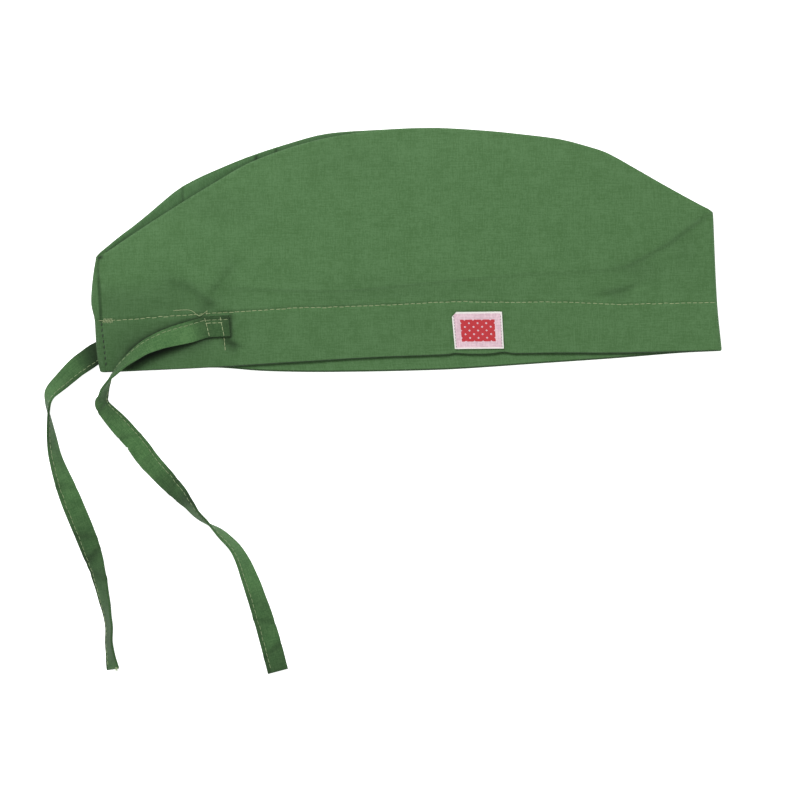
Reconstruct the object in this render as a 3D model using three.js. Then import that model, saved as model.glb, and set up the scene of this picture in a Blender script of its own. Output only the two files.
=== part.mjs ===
// A scrub cap of plain woven cloth, folded flat and lying on its side on a table.
// One side piece goes round the head: it is folded at the front and seamed at the back, and its lower
// edge is turned up as a hem. A long crown piece closes the top, and its middle is tucked down inside
// between the two sides. Two flat ties are sewn to the hem near the back, and a small woven label to
// the front of the hem.
// Millimetres. +X runs from the back fold to the front fold, +Y from the hem to the crown, +Z up from
// the table. The origin is under the middle of the folded cap, on the table.
import * as THREE from "three";

// The folded cap
const foldedLength = 302; // back fold to front fold, half the way round the hem
const foldedHeight = 117.5; // lowest point of the hem to the top of the crown seam
const clothWall = 1;
const layerGap = 0.3; // clearance between pieces that lie on each other

// The hem
const hemDepth = 24; // hem edge to its line of stitching
const hemWall = 2; // two layers of cloth
const hemTurn = 1.5; // turned-up cloth that stands above the stitching
const hemEdgeRound = 0.8; // how far from its edge the hem reaches its full wall
const hemEdgeShare = 0.7; // share of the hem's wall that its rounded edge keeps
const hemGap = 1; // between the two hems at the folds

// The tucked crown
const tuckGap = 0.5; // between its two halves
const crownEndGap = 2.5; // from the side piece's fold lines to the crown's pointed ends
const crownTuckIn = 1.1; // how far it starts under the near seam, in walls of cloth

// The ties
const tieWidth = 10.2;
const tieWall = 1.2;
const tieLift = tieWall + 2 * layerGap; // room under the far hem for the tie that lies there

// The label
const labelWidth = 23.8;
const labelHeight = 17.5;
const labelWall = 0.8;
const labelTilt = THREE.MathUtils.degToRad(0.6);
const labelMiddle = 11.3; // above the hem edge
const labelAlong = 0.6134; // share of the folded length, from the back fold

// Colours
const green = new THREE.MeshStandardMaterial({ color: 0x567b4e, roughness: 0.85, metalness: 0 });
const greenTie = new THREE.MeshStandardMaterial({ color: 0x4c7545, roughness: 0.85, metalness: 0 });
const palePink = new THREE.MeshStandardMaterial({ color: 0xdec0c9, roughness: 0.8, metalness: 0 });

// Outlines seen from above. along is a share of the folded length from the back fold, and up a share
// of the folded height from the lowest point of the hem.
const nearHemEdge = [
  { along: 0.0, up: 0.0 },
  { along: 0.198, up: 0.02 },
  { along: 0.33, up: 0.04 },
  { along: 0.448, up: 0.059 },
  { along: 0.565, up: 0.072 },
  { along: 0.743, up: 0.08 },
  { along: 1.0, up: 0.091 },
];
const farHemEdge = [
  { along: 0.0, up: 0.0 },
  { along: 0.1, up: 0.013 },
  { along: 0.198, up: 0.021 },
  { along: 0.265, up: 0.008 },
  { along: 0.36, up: 0.002 },
  { along: 0.489, up: 0.006 },
  { along: 0.58, up: 0.015 },
  { along: 0.712, up: 0.04 },
  { along: 0.829, up: 0.061 },
  { along: 1.0, up: 0.091 },
];
const nearSeam = [
  { along: 0.0, up: 0.45 },
  { along: 0.012, up: 0.471 },
  { along: 0.08, up: 0.59 },
  { along: 0.146, up: 0.699 },
  { along: 0.194, up: 0.774 },
  { along: 0.249, up: 0.855 },
  { along: 0.322, up: 0.925 },
  { along: 0.386, up: 0.965 },
  { along: 0.462, up: 0.992 },
  { along: 0.545, up: 1.0 },
  { along: 0.624, up: 0.989 },
  { along: 0.683, up: 0.974 },
  { along: 0.743, up: 0.954 },
  { along: 0.791, up: 0.922 },
  { along: 0.819, up: 0.897 },
  { along: 0.864, up: 0.833 },
  { along: 0.923, up: 0.746 },
  { along: 1.0, up: 0.637 },
];
const farSeam = [
  { along: 0.0, up: 0.467 },
  { along: 0.007, up: 0.481 },
  { along: 0.041, up: 0.556 },
  { along: 0.086, up: 0.642 },
  { along: 0.136, up: 0.745 },
  { along: 0.163, up: 0.785 },
  { along: 0.185, up: 0.812 },
  { along: 0.249, up: 0.88 },
  { along: 0.322, up: 0.941 },
  { along: 0.368, up: 0.972 },
  { along: 0.426, up: 0.986 },
  { along: 0.545, up: 0.996 },
  { along: 0.683, up: 0.97 },
  { along: 0.791, up: 0.917 },
  { along: 0.864, up: 0.828 },
  { along: 1.0, up: 0.633 },
];
// The fold of the tucked crown, which also marks the side that lies over it
const tuckFold = [
  { along: 0.0, up: 0.42 },
  { along: 0.03, up: 0.422 },
  { along: 0.108, up: 0.392 },
  { along: 0.219, up: 0.354 },
  { along: 0.362, up: 0.34 },
  { along: 0.457, up: 0.342 },
  { along: 0.577, up: 0.366 },
  { along: 0.775, up: 0.413 },
  { along: 0.854, up: 0.438 },
  { along: 0.921, up: 0.53 },
  { along: 0.97, up: 0.597 },
  { along: 1.0, up: 0.6 },
];
const backFold = [
  { up: 0.0, along: 0.014 },
  { up: 0.07, along: 0.009 },
  { up: 0.14, along: 0.007 },
  { up: 0.216, along: 0.005 },
  { up: 0.28, along: 0.0 },
  { up: 0.364, along: 0.001 },
  { up: 0.475, along: 0.007 },
];
const frontFold = [
  { up: 0.091, along: 1.0 },
  { up: 0.287, along: 0.993 },
  { up: 0.658, along: 0.986 },
];

// Stations up a side: 0 at the hem edge, 1 at the hem's stitching, 2 over the tucked fold, 3 at the
// crown seam. rise is how far the near side stands over its folds there, half way along the cap, as a
// share of its greatest rise.
const greatestRise = 13.8;
const nearRise = [
  { station: 0, rise: 0.58 },
  { station: 0.5, rise: 0.75 },
  { station: 1, rise: 0.84 },
  { station: 1.85, rise: 0.915 },
  { station: 2, rise: 0.985 },
  { station: 2.3, rise: 1 },
  { station: 2.5, rise: 0.92 },
  { station: 2.7, rise: 0.74 },
  { station: 2.85, rise: 0.48 },
  { station: 2.95, rise: 0.2 },
  { station: 3, rise: 0.06 },
];
const riseFlatness = 2.4; // higher keeps the rise level further towards the folds
const stitchDip = 0.3; // how deep the stitching draws the hem in
const stitchDipSpread = 0.06; // in stations, either side of the stitching

// Shallow dents in the near side. depth and radius are shares of the deepest and the widest dent.
const dentDepth = 1.4;
const dentRadius = 24;
const dents = [
  { along: 0.133, up: 0.345, depth: 0.8, radius: 0.75 },
  { along: 0.222, up: 0.36, depth: 0.6, radius: 0.6 },
  { along: 0.839, up: 0.35, depth: 1, radius: 0.75 },
  { along: 0.52, up: 0.575, depth: 0.6, radius: 1 },
];

// Where the stations' own rings of points lie, besides those at the hem
const stations = [0, 0.3, 0.65, 1, 1.3, 1.6, 1.85, 2, 2.15, 2.3, 2.5, 2.7, 2.85, 2.95, 3];

// Where the far side rises over the tie that lies under it
const liftEndAlong = [0.27, 0.37];
const liftEndStation = [1.1, 1.8];

// The stack of cloth at the folds: two panels with the two halves of the crown, or two hems
const foldStack = Math.max(4 * clothWall + 2 * layerGap + tuckGap, 2 * hemWall + hemGap);
const foldRadius = foldStack / 2;

// How finely the solids are divided
const sideColumns = 32;
const foldSteps = 6;
const crownColumns = 28;
const wingSteps = 6;
const tieStepsPerPoint = 2;
const labelColumns = 6;
const labelRows = 4;
const hemStep = 0.03; // in stations, from the full thickness of the hem to the plain cloth

const { lerp, clamp, smoothstep, degToRad } = THREE.MathUtils;

// A smooth line through the rows of a table, read at any value of its column from.
function through(rows, from, to) {
  const slopes = rows.map((row, i) => {
    const before = rows[Math.max(i - 1, 0)];
    const after = rows[Math.min(i + 1, rows.length - 1)];
    return (after[to] - before[to]) / (after[from] - before[from]);
  });
  return (value) => {
    const at = clamp(value, rows[0][from], rows[rows.length - 1][from]);
    const i = Math.max(1, rows.findIndex((row) => row[from] >= at)) - 1;
    const step = rows[i + 1][from] - rows[i][from];
    const t = (at - rows[i][from]) / step;
    const start = rows[i][to] + (t * t * (3 - 2 * t)) * (rows[i + 1][to] - rows[i][to]);
    return start + step * t * (1 - t) * ((1 - t) * slopes[i] - t * slopes[i + 1]);
  };
}

const xAt = (along) => (along - 0.5) * foldedLength;
const yAt = (up) => (up - 0.5) * foldedHeight;
const alongAt = (x) => x / foldedLength + 0.5;
const upAt = (y) => y / foldedHeight + 0.5;

const hemEdge = { near: through(nearHemEdge, "along", "up"), far: through(farHemEdge, "along", "up") };
const seam = { near: through(nearSeam, "along", "up"), far: through(farSeam, "along", "up") };
const tuck = through(tuckFold, "along", "up");
const backAlong = through(backFold, "up", "along");
const frontAlong = through(frontFold, "up", "along");
const riseAt = through(nearRise, "station", "rise");

// The four levels of a side at a place along it: hem edge, stitching, tucked fold and crown seam.
function levels(side, along) {
  const edge = yAt(hemEdge[side](along));
  return [edge, edge + hemDepth, yAt(tuck(along)), yAt(seam[side](along))];
}

function levelOf(side, along, station) {
  const rows = levels(side, along);
  const i = Math.min(2, Math.floor(station));
  return lerp(rows[i], rows[i + 1], station - i);
}

function stationOf(side, along, y) {
  const rows = levels(side, along);
  const i = y < rows[1] ? 0 : y < rows[2] ? 1 : 2;
  return i + (y - rows[i]) / (rows[i + 1] - rows[i]);
}

// Where a side's flat part begins and ends, inside the round folds.
function sideEnds(side, station) {
  const back = backAlong(upAt(levelOf(side, 0, station)));
  const front = frontAlong(upAt(levelOf(side, 1, station)));
  return [xAt(back) + foldRadius, xAt(front) - foldRadius];
}

function tieRoom(along, station) {
  const nearBack = 1 - smoothstep(along, liftEndAlong[0], liftEndAlong[1]);
  const nearHem = 1 - smoothstep(station, liftEndStation[0], liftEndStation[1]);
  return tieLift * nearBack * nearHem;
}

function dentAt(x, y) {
  let depth = 0;
  for (const dent of dents) {
    const reach = Math.hypot(x - xAt(dent.along), y - yAt(dent.up)) / (dent.radius * dentRadius);
    if (reach < 1) depth += dent.depth * dentDepth * (1 - reach * reach) ** 2;
  }
  return depth;
}

// The outside of a side, at a share of the way from its back fold to its front fold.
function sidePoint(side, share, station) {
  const [back, front] = sideEnds(side, station);
  const x = lerp(back, front, share);
  const under = tieRoom(alongAt(x), station);
  const level = 1 - Math.abs(2 * share - 1) ** riseFlatness;
  const dip = stitchDip * Math.max(0, 1 - Math.abs(station - 1) / stitchDipSpread);
  const point = new THREE.Vector3(x, levelOf(side, alongAt(x), station), under + dip);
  if (side === "near") {
    const rise = greatestRise * riseAt(station) - dentAt(point.x, point.y);
    point.z = under + foldStack + rise * level - dip;
  }
  return point;
}

// The height of the near side's outside over a place on the table.
function nearTop(x, y) {
  const station = clamp(stationOf("near", alongAt(x), y), 0, 3);
  const [back, front] = sideEnds("near", station);
  return sidePoint("near", (x - back) / (front - back), station).z;
}

// Half a round fold, from one side's end to the other's, bulging out by the fold's radius.
function foldPoint(end, station, step) {
  const share = end < 0 ? 0 : 1;
  const near = sidePoint("near", share, station);
  const far = sidePoint("far", share, station);
  const turn = (Math.PI * step) / foldSteps;
  const point = near.clone().lerp(far, (1 - Math.cos(turn)) / 2);
  point.x += end * foldRadius * Math.sin(turn);
  return point;
}

// Points pushed in from a grid's outside along its normals. wall gives the thickness of each row.
function pushedIn(outside, wall, wrapped) {
  const rows = outside.length;
  return outside.map((row, i) =>
    row.map((point, j) => {
      const count = row.length;
      const left = wrapped ? (j + count - 1) % count : Math.max(j - 1, 0);
      const right = wrapped ? (j + 1) % count : Math.min(j + 1, count - 1);
      const across = row[right].clone().sub(row[left]);
      const along = outside[Math.min(i + 1, rows - 1)][j].clone().sub(outside[Math.max(i - 1, 0)][j]);
      const normal = across.cross(along).normalize();
      return point.clone().addScaledVector(normal, -wall[i]);
    }),
  );
}

// A closed piece of cloth between two grids of points: both faces and the edges between them.
function clothPiece(name, outside, inside, wrapped, material) {
  const rows = outside.length;
  const count = outside[0].length;
  const points = [...outside.flat(), ...inside.flat()];
  const triangles = [];
  const quad = (a, b, c, d) => triangles.push(a, b, c, a, c, d);
  const out = (i, j) => i * count + (j % count);
  const back = (i, j) => rows * count + out(i, j);
  const lastColumn = wrapped ? count : count - 1;
  for (let i = 0; i < rows - 1; i++) {
    for (let j = 0; j < lastColumn; j++) {
      quad(out(i, j), out(i, j + 1), out(i + 1, j + 1), out(i + 1, j));
      quad(back(i, j), back(i + 1, j), back(i + 1, j + 1), back(i, j + 1));
    }
    if (!wrapped) {
      quad(out(i, 0), out(i + 1, 0), back(i + 1, 0), back(i, 0));
      quad(out(i + 1, count - 1), out(i, count - 1), back(i, count - 1), back(i + 1, count - 1));
    }
  }
  for (let j = 0; j < lastColumn; j++) {
    quad(out(0, j + 1), out(0, j), back(0, j), back(0, j + 1));
    quad(out(rows - 1, j), out(rows - 1, j + 1), back(rows - 1, j + 1), back(rows - 1, j));
  }
  const geometry = new THREE.BufferGeometry().setFromPoints(points).setIndex(triangles);
  geometry.computeVertexNormals();
  const mesh = new THREE.Mesh(geometry, material);
  mesh.name = name;
  return mesh;
}

const shares = (count) => Array.from({ length: count + 1 }, (_, i) => i / count);

// The side piece with its turned-up hem, as rings from the hem edge to the crown seam.
function sidePanel() {
  const roundedStation = hemEdgeRound / hemDepth;
  const middle = levels("near", 0.5);
  const hemTop = 1 + hemTurn / (middle[2] - middle[1]);
  const atHem = [roundedStation, 1 - stitchDipSpread, 1 + stitchDipSpread, hemTop, hemTop + hemStep];
  const rings = [...stations, ...atHem].sort((a, b) => a - b);
  const wall = rings.map((station) => {
    if (station > hemTop) return clothWall;
    return station < roundedStation ? hemWall * hemEdgeShare : hemWall;
  });
  const outside = rings.map((station) => {
    const near = shares(sideColumns).map((share) => sidePoint("near", share, station));
    const far = shares(sideColumns).map((share) => sidePoint("far", 1 - share, station));
    const front = [];
    const back = [];
    for (let step = 1; step < foldSteps; step++) {
      front.push(foldPoint(1, station, step));
      back.push(foldPoint(-1, station, foldSteps - step));
    }
    return [...near, ...front, ...far, ...back];
  });
  return clothPiece("side_panel", outside, pushedIn(outside, wall, true), true, green);
}

// The crown, tucked down between the sides: from the near seam to its fold and out to the far seam.
function crown() {
  const tuckRadius = clothWall + tuckGap / 2;
  const bed = clothWall + layerGap;
  const [back, front] = sideEnds("near", 3);
  const endShare = crownEndGap / (front - back);
  const columns = shares(crownColumns).map((share) => {
    const place = lerp(endShare, 1 - endShare, share);
    const near = sidePoint("near", place, 3);
    const far = sidePoint("far", place, 3);
    const nearStart = new THREE.Vector3(near.x, near.y, near.z - crownTuckIn * clothWall - layerGap);
    const farEnd = new THREE.Vector3(far.x, far.y, bed);
    const foldY = yAt(tuck(alongAt(near.x))) + tuckRadius;
    const wingNear = new THREE.Vector3(near.x, foldY, bed + 2 * tuckRadius);
    const wingFar = new THREE.Vector3(near.x, foldY, bed);
    const column = [];
    for (let step = 0; step < wingSteps; step++) {
      column.push(nearStart.clone().lerp(wingNear, step / wingSteps));
    }
    for (let step = 0; step <= foldSteps; step++) {
      const turn = (Math.PI * step) / foldSteps;
      const y = foldY - tuckRadius * Math.sin(turn);
      column.push(new THREE.Vector3(near.x, y, bed + tuckRadius * (1 + Math.cos(turn))));
    }
    for (let step = 1; step <= wingSteps; step++) {
      column.push(wingFar.clone().lerp(farEnd, step / wingSteps));
    }
    return column;
  });
  const wall = columns.map(() => clothWall);
  return clothPiece("crown", columns, pushedIn(columns, wall, false), false, green);
}

// Routes of the ties, from the sewn end to the free end, as chosen points in millimetres. turn is how far
// a tie has rolled over, in degrees: 0 lies flat with its stitched edge on the right of the way it runs,
// 90 stands with that edge down, 180 lies flat the other way up and 270 stands with that edge up. lift is
// how far it hangs above the hem or the table that it rests on.
const nearTieRoute = [
  { x: -84.5, y: -36.4, turn: 0, lift: 0, on: "hem" },
  { x: -90.0, y: -36.7, turn: 0, lift: 0, on: "hem" },
  { x: -95.6, y: -37.1, turn: 2, lift: 0, on: "hem" },
  { x: -103.7, y: -39.4, turn: 15, lift: 0.3, on: "hem" },
  { x: -112.0, y: -41.6, turn: 32, lift: 0.6, on: "hem" },
  { x: -118.6, y: -43.9, turn: 45, lift: 0.7, on: "hem" },
  { x: -126.2, y: -47.6, turn: 58, lift: 0.7, on: "hem" },
  { x: -132.4, y: -52.0, turn: 68, lift: 0.8, on: "hem" },
  { x: -138.2, y: -57.4, turn: 78, lift: 1.2, on: "hem" },
  { x: -141.9, y: -61.8, turn: 90, lift: 5.8, on: "table" },
  { x: -144.3, y: -66.5, turn: 110, lift: 1.8, on: "table" },
  { x: -145.7, y: -70.3, turn: 124, lift: 0.7, on: "table" },
  { x: -145.5, y: -74.0, turn: 134, lift: 0.2, on: "table" },
  { x: -141.8, y: -79.0, turn: 145, lift: 0, on: "table" },
  { x: -136.0, y: -85.8, turn: 151, lift: 0, on: "table" },
  { x: -130.3, y: -92.3, turn: 158, lift: 0, on: "table" },
  { x: -122.5, y: -101.4, turn: 180, lift: 0, on: "table" },
  { x: -114.7, y: -110.4, turn: 215, lift: 0, on: "table" },
  { x: -101.8, y: -124.8, turn: 243, lift: 0, on: "table" },
  { x: -95.9, y: -130.4, turn: 268, lift: 0, on: "table" },
  { x: -90.3, y: -135.4, turn: 290, lift: 0, on: "table" },
  { x: -84.6, y: -140.0, turn: 300, lift: 0, on: "table" },
  { x: -80.3, y: -145.6, turn: 306, lift: 0, on: "table" },
  { x: -75.7, y: -154.7, turn: 315, lift: 0, on: "table" },
  { x: -70.2, y: -171.0, turn: 333, lift: 0, on: "table" },
  { x: -65.6, y: -186.3, turn: 342, lift: 0, on: "table" },
  { x: -61.5, y: -201.9, turn: 348, lift: 0, on: "table" },
];
const farTieRoute = [
  { x: -84.5, y: -36.4, turn: 180, lift: 0, on: "table" },
  { x: -96.3, y: -37.4, turn: 180, lift: 0, on: "table" },
  { x: -114.0, y: -39.4, turn: 180, lift: 0, on: "table" },
  { x: -132.0, y: -43.0, turn: 180, lift: 0, on: "table" },
  { x: -147.9, y: -49.3, turn: 182, lift: 0, on: "table" },
  { x: -153.5, y: -53.0, turn: 192, lift: 0, on: "table" },
  { x: -158.0, y: -56.6, turn: 204, lift: 0, on: "table" },
  { x: -165.0, y: -62.7, turn: 222, lift: 0, on: "table" },
  { x: -170.0, y: -68.4, turn: 240, lift: 0, on: "table" },
  { x: -171.8, y: -72.6, turn: 256, lift: 0, on: "table" },
  { x: -171.4, y: -76.8, turn: 267, lift: 0, on: "table" },
  { x: -170.7, y: -83.8, turn: 282, lift: 0, on: "table" },
  { x: -169.2, y: -93.9, turn: 299, lift: 0, on: "table" },
  { x: -166.9, y: -103.0, turn: 311, lift: 0, on: "table" },
  { x: -160.5, y: -120.2, turn: 334, lift: 0, on: "table" },
  { x: -153.0, y: -138.4, turn: 360, lift: 0, on: "table" },
  { x: -149.0, y: -149.2, turn: 396, lift: 0, on: "table" },
  { x: -146.6, y: -158.1, turn: 408, lift: 0, on: "table" },
  { x: -144.6, y: -167.6, turn: 419, lift: 0, on: "table" },
  { x: -142.5, y: -179.6, turn: 431, lift: 0, on: "table" },
  { x: -142.2, y: -189.2, turn: 430, lift: 0, on: "table" },
  { x: -140.4, y: -200.9, turn: 414, lift: 0, on: "table" },
];

// What a tie rests on at a point of its route: a height, and the roll that lays it along the cloth.
function tieBed({ x, y, turn, lift, on }) {
  const angle = degToRad(turn);
  if (on === "table") return { point: new THREE.Vector3(x, y, layerGap / 2 + lift), angle };
  const above = nearTop(x, y + tieWidth / 2);
  const below = nearTop(x, y - tieWidth / 2);
  const seat = (above + below) / 2 + layerGap + lift;
  return { point: new THREE.Vector3(x, y, seat), angle: angle - Math.atan2(above - below, tieWidth) };
}

// A tie's section: across is a share of its width from its middle, and thick a share of its wall
const tieSection = [
  { across: -0.5, thick: 0.3 },
  { across: -0.44, thick: 1 },
  { across: 0, thick: 1 },
  { across: 0.44, thick: 1 },
  { across: 0.5, thick: 0.3 },
];

// A flat tie along a route: a thin section with bevelled edges, rolled about the way it runs and raised
// so that its lower face or edge rests on its bed.
function tie(name, route) {
  const beds = route.map(tieBed);
  const bed = new THREE.CatmullRomCurve3(beds.map(({ point }) => point), false, "centripetal");
  const angleAt = through(beds.map(({ angle }, i) => ({ i, angle })), "i", "angle");
  const up = new THREE.Vector3(0, 0, 1);
  const steps = (route.length - 1) * tieStepsPerPoint;
  const top = [];
  const bottom = [];
  for (let step = 0; step <= steps; step++) {
    const angle = angleAt((step / steps) * (route.length - 1));
    const standing = Math.abs(Math.sin(angle)) * tieWidth;
    const lying = Math.abs(Math.cos(angle)) * tieWall;
    const centre = bed.getPoint(step / steps);
    centre.z = Math.max(centre.z, layerGap / 2) + (standing + lying) / 2;
    const way = bed.getTangent(step / steps);
    const width = way.clone().cross(up).normalize().applyAxisAngle(way, angle);
    const face = width.clone().cross(way);
    const row = (side) =>
      tieSection.map(({ across, thick }) =>
        centre
          .clone()
          .addScaledVector(width, across * tieWidth)
          .addScaledVector(face, (side * thick * tieWall) / 2),
      );
    top.push(row(1));
    bottom.push(row(-1));
  }
  return clothPiece(name, top, bottom, false, greenTie);
}

// The woven label on the near hem, following the cloth under it.
function label() {
  const x0 = xAt(labelAlong);
  const y0 = yAt(hemEdge.near(labelAlong)) + labelMiddle;
  const rows = shares(labelRows).map((v) =>
    shares(labelColumns).map((u) => {
      const offset = new THREE.Vector2((u - 0.5) * labelWidth, (v - 0.5) * labelHeight);
      offset.rotateAround(new THREE.Vector2(), labelTilt);
      const x = x0 + offset.x;
      const y = y0 + offset.y;
      return new THREE.Vector3(x, y, nearTop(x, y) + layerGap);
    }),
  );
  const lifted = rows.map((row) => row.map((point) => point.clone().setZ(point.z + labelWall)));
  return clothPiece("label", lifted, rows, false, palePink);
}

const scrubCap = new THREE.Group();
scrubCap.name = "scrub_cap";
scrubCap.add(sidePanel());
scrubCap.add(crown());
scrubCap.add(tie("tie_near", nearTieRoute));
scrubCap.add(tie("tie_far", farTieRoute));
scrubCap.add(label());

export default scrubCap;
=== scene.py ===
# A scrub cap of plain woven cloth, folded flat and lying on its side, seen from straight above.
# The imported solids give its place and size. The pieces made here take over from them with turned
# edges, seams, creases, stitches and a weave.
import math

import bpy
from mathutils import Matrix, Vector, noise


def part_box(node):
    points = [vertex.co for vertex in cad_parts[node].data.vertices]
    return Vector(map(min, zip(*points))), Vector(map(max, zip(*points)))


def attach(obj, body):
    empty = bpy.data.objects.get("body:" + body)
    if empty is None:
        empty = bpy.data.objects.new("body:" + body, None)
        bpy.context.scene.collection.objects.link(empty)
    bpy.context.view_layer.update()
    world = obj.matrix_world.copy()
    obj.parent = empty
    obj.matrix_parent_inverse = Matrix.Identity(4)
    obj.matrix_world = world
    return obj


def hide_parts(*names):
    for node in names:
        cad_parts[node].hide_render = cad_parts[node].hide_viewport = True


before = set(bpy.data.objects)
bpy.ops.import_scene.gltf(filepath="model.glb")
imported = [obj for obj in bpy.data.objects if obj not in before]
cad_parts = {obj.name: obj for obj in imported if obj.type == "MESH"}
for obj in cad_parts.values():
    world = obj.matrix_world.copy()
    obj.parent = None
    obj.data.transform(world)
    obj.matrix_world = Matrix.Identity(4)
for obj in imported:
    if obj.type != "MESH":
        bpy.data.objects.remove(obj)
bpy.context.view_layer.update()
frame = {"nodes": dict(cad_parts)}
bpy.ops.object.select_all(action="DESELECT")

MM = 0.001
SKYWARD = Vector((0, 0, 1))

# The cap as it lies, with its middle at the frame's origin
LENGTH = 302 * MM
HEIGHT = 117.5 * MM
CAP_LOW = Vector((-LENGTH / 2, -HEIGHT / 2))

# Sizes of the cloth
CLOTH = 1.0 * MM
LAYER_GAP = 0.3 * MM
HEM_DEPTH = 24 * MM
HEM_WALL = 2.0 * MM
TUCK_GAP = 0.5 * MM
FOLD_STACK = 5.1 * MM
FOLD_RADIUS = FOLD_STACK / 2
GREATEST_RISE = 13.8 * MM
RISE_FLATNESS = 2.4

# Sizes of the ties
TIE_WIDTH = 10.2 * MM
TIE_WALL = 1.2 * MM
TIE_LIFT = TIE_WALL + 2 * LAYER_GAP

# The camera looks straight down on a square this wide, whose middle lies here
VIEW_WIDTH = 383.2 * MM
VIEW_MIDDLE = Vector((-3.1 * MM, -71.9 * MM))
CAMERA_HEIGHT = 8.0

# Outlines seen from above: along is a share of the cap's length from the back fold, and up a share of
# its height from the lowest point of the hem. Each row is (along, up).
HEM_EDGE = {
    "near": [
        (0.0, -0.002), (0.1, 0.008), (0.187, 0.018), (0.33, 0.04), (0.448, 0.058), (0.566, 0.07),
        (0.574, 0.0745), (0.582, 0.0745), (0.6, 0.0715), (0.63, 0.0725), (0.651, 0.0795),
        (0.658, 0.079), (0.67, 0.0745), (0.743, 0.077), (0.829, 0.077), (0.975, 0.086), (1.0, 0.088),
    ],
    "far": [
        (0.0, 0.0), (0.1, 0.0115), (0.198, 0.0195), (0.265, 0.007), (0.331, 0.002),
        (0.39, 0.002), (0.489, 0.006), (0.58, 0.014), (0.712, 0.037), (0.829, 0.0575),
        (0.931, 0.079), (1.0, 0.088),
    ],
}
STITCH_LINE = [
    (0.0, 0.211), (0.031, 0.211), (0.129, 0.23), (0.245, 0.249), (0.331, 0.263), (0.379, 0.266),
    (0.477, 0.276), (0.58, 0.288), (0.653, 0.2855), (0.743, 0.287), (0.835, 0.2775),
    (0.888, 0.2805), (1.0, 0.287),
]
SEAM = {
    "near": [
        (0.0, 0.45), (0.012, 0.471), (0.08, 0.59), (0.146, 0.699), (0.194, 0.774), (0.249, 0.855),
        (0.322, 0.925), (0.386, 0.965), (0.462, 0.992), (0.545, 1.0), (0.624, 0.989),
        (0.683, 0.974), (0.743, 0.954), (0.791, 0.922), (0.819, 0.897), (0.864, 0.833),
        (0.923, 0.746), (1.0, 0.637),
    ],
    "far": [
        (0.0, 0.46), (0.007, 0.477), (0.0218, 0.506), (0.041, 0.548), (0.0615, 0.587),
        (0.086, 0.637), (0.136, 0.745), (0.163, 0.785), (0.185, 0.812), (0.249, 0.88),
        (0.322, 0.941), (0.368, 0.972), (0.426, 0.986), (0.545, 0.996), (0.683, 0.97),
        (0.791, 0.917), (0.864, 0.828), (1.0, 0.633),
    ],
}
# The near side lies over the tucked fold with a crease, and the fold itself is a little lower at its
# front end
TUCK_FOLD = {
    "near": [
        (0.0, 0.42), (0.03, 0.422), (0.108, 0.392), (0.219, 0.354), (0.362, 0.336), (0.426, 0.341),
        (0.537, 0.37), (0.696, 0.408), (0.799, 0.42), (0.851, 0.439), (0.886, 0.488),
        (0.918, 0.533), (0.961, 0.6), (1.0, 0.62),
    ],
    "far": [
        (0.0, 0.42), (0.03, 0.422), (0.108, 0.392), (0.219, 0.354), (0.362, 0.34), (0.457, 0.342),
        (0.577, 0.366), (0.775, 0.413), (0.854, 0.438), (0.921, 0.53), (0.97, 0.597), (1.0, 0.6),
    ],
}
# Each row is (up, along)
BACK_FOLD = [
    (0.0, 0.0143), (0.07, 0.0094), (0.14, 0.0071), (0.216, 0.0052), (0.28, 0.0), (0.364, 0.0014),
    (0.475, 0.007),
]
FRONT_FOLD = [(0.0944, 1.0), (0.287, 0.9927), (0.659, 0.9862)]
BACK_SEAM = [
    (0.0, 0.025), (0.0455, 0.0229), (0.0923, 0.021), (0.137, 0.019), (0.178, 0.017),
    (0.2636, 0.015), (0.337, 0.0132), (0.427, 0.0115), (0.473, 0.0126),
]
# How far the near side stands over its folds, as a share of its greatest rise. Stations: 0 is the hem
# edge, 1 its stitching, 2 the tucked fold and 3 the crown seam.
NEAR_RISE = [
    (0, 0.02), (0.5, 0.33), (1, 0.6), (1.5, 0.79), (1.85, 0.9), (2, 0.96), (2.3, 1), (2.5, 0.92),
    (2.7, 0.74), (2.85, 0.48), (2.95, 0.2), (3, 0.06),
]
LAST_STATION = 3
# Where the far side rises over the tie that lies under it
LIFT_END_ALONG = (0.27, 0.37)
LIFT_END_STATION = (1.1, 1.8)


def smooth_line(rows):
    """A smooth line through rows of (at, value), as a function of at."""
    slopes = []
    for i in range(len(rows)):
        (a, value_a), (b, value_b) = rows[max(i - 1, 0)], rows[min(i + 1, len(rows) - 1)]
        slopes.append((value_b - value_a) / (b - a))

    def value(at):
        at = min(max(at, rows[0][0]), rows[-1][0])
        i = 0
        while at > rows[i + 1][0]:
            i += 1
        (a, value_a), (b, value_b) = rows[i], rows[i + 1]
        t = (at - a) / (b - a)
        eased = value_a + t * t * (3 - 2 * t) * (value_b - value_a)
        return eased + (b - a) * t * (1 - t) * ((1 - t) * slopes[i] - t * slopes[i + 1])

    return value


def ease(value, start, end):
    """0 before start, 1 after end and smooth between them."""
    t = min(max((value - start) / (end - start), 0), 1)
    return t * t * (3 - 2 * t)


def bell(distance, width):
    """1 at no distance, and next to nothing three widths away."""
    return math.exp(-((distance / width) ** 2))


def lerp(a, b, t):
    return a + (b - a) * t


def x_at(along):
    return CAP_LOW.x + along * LENGTH


def y_at(up):
    return CAP_LOW.y + up * HEIGHT


def along_at(x):
    return (x - CAP_LOW.x) / LENGTH


def up_at(y):
    return (y - CAP_LOW.y) / HEIGHT


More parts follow.
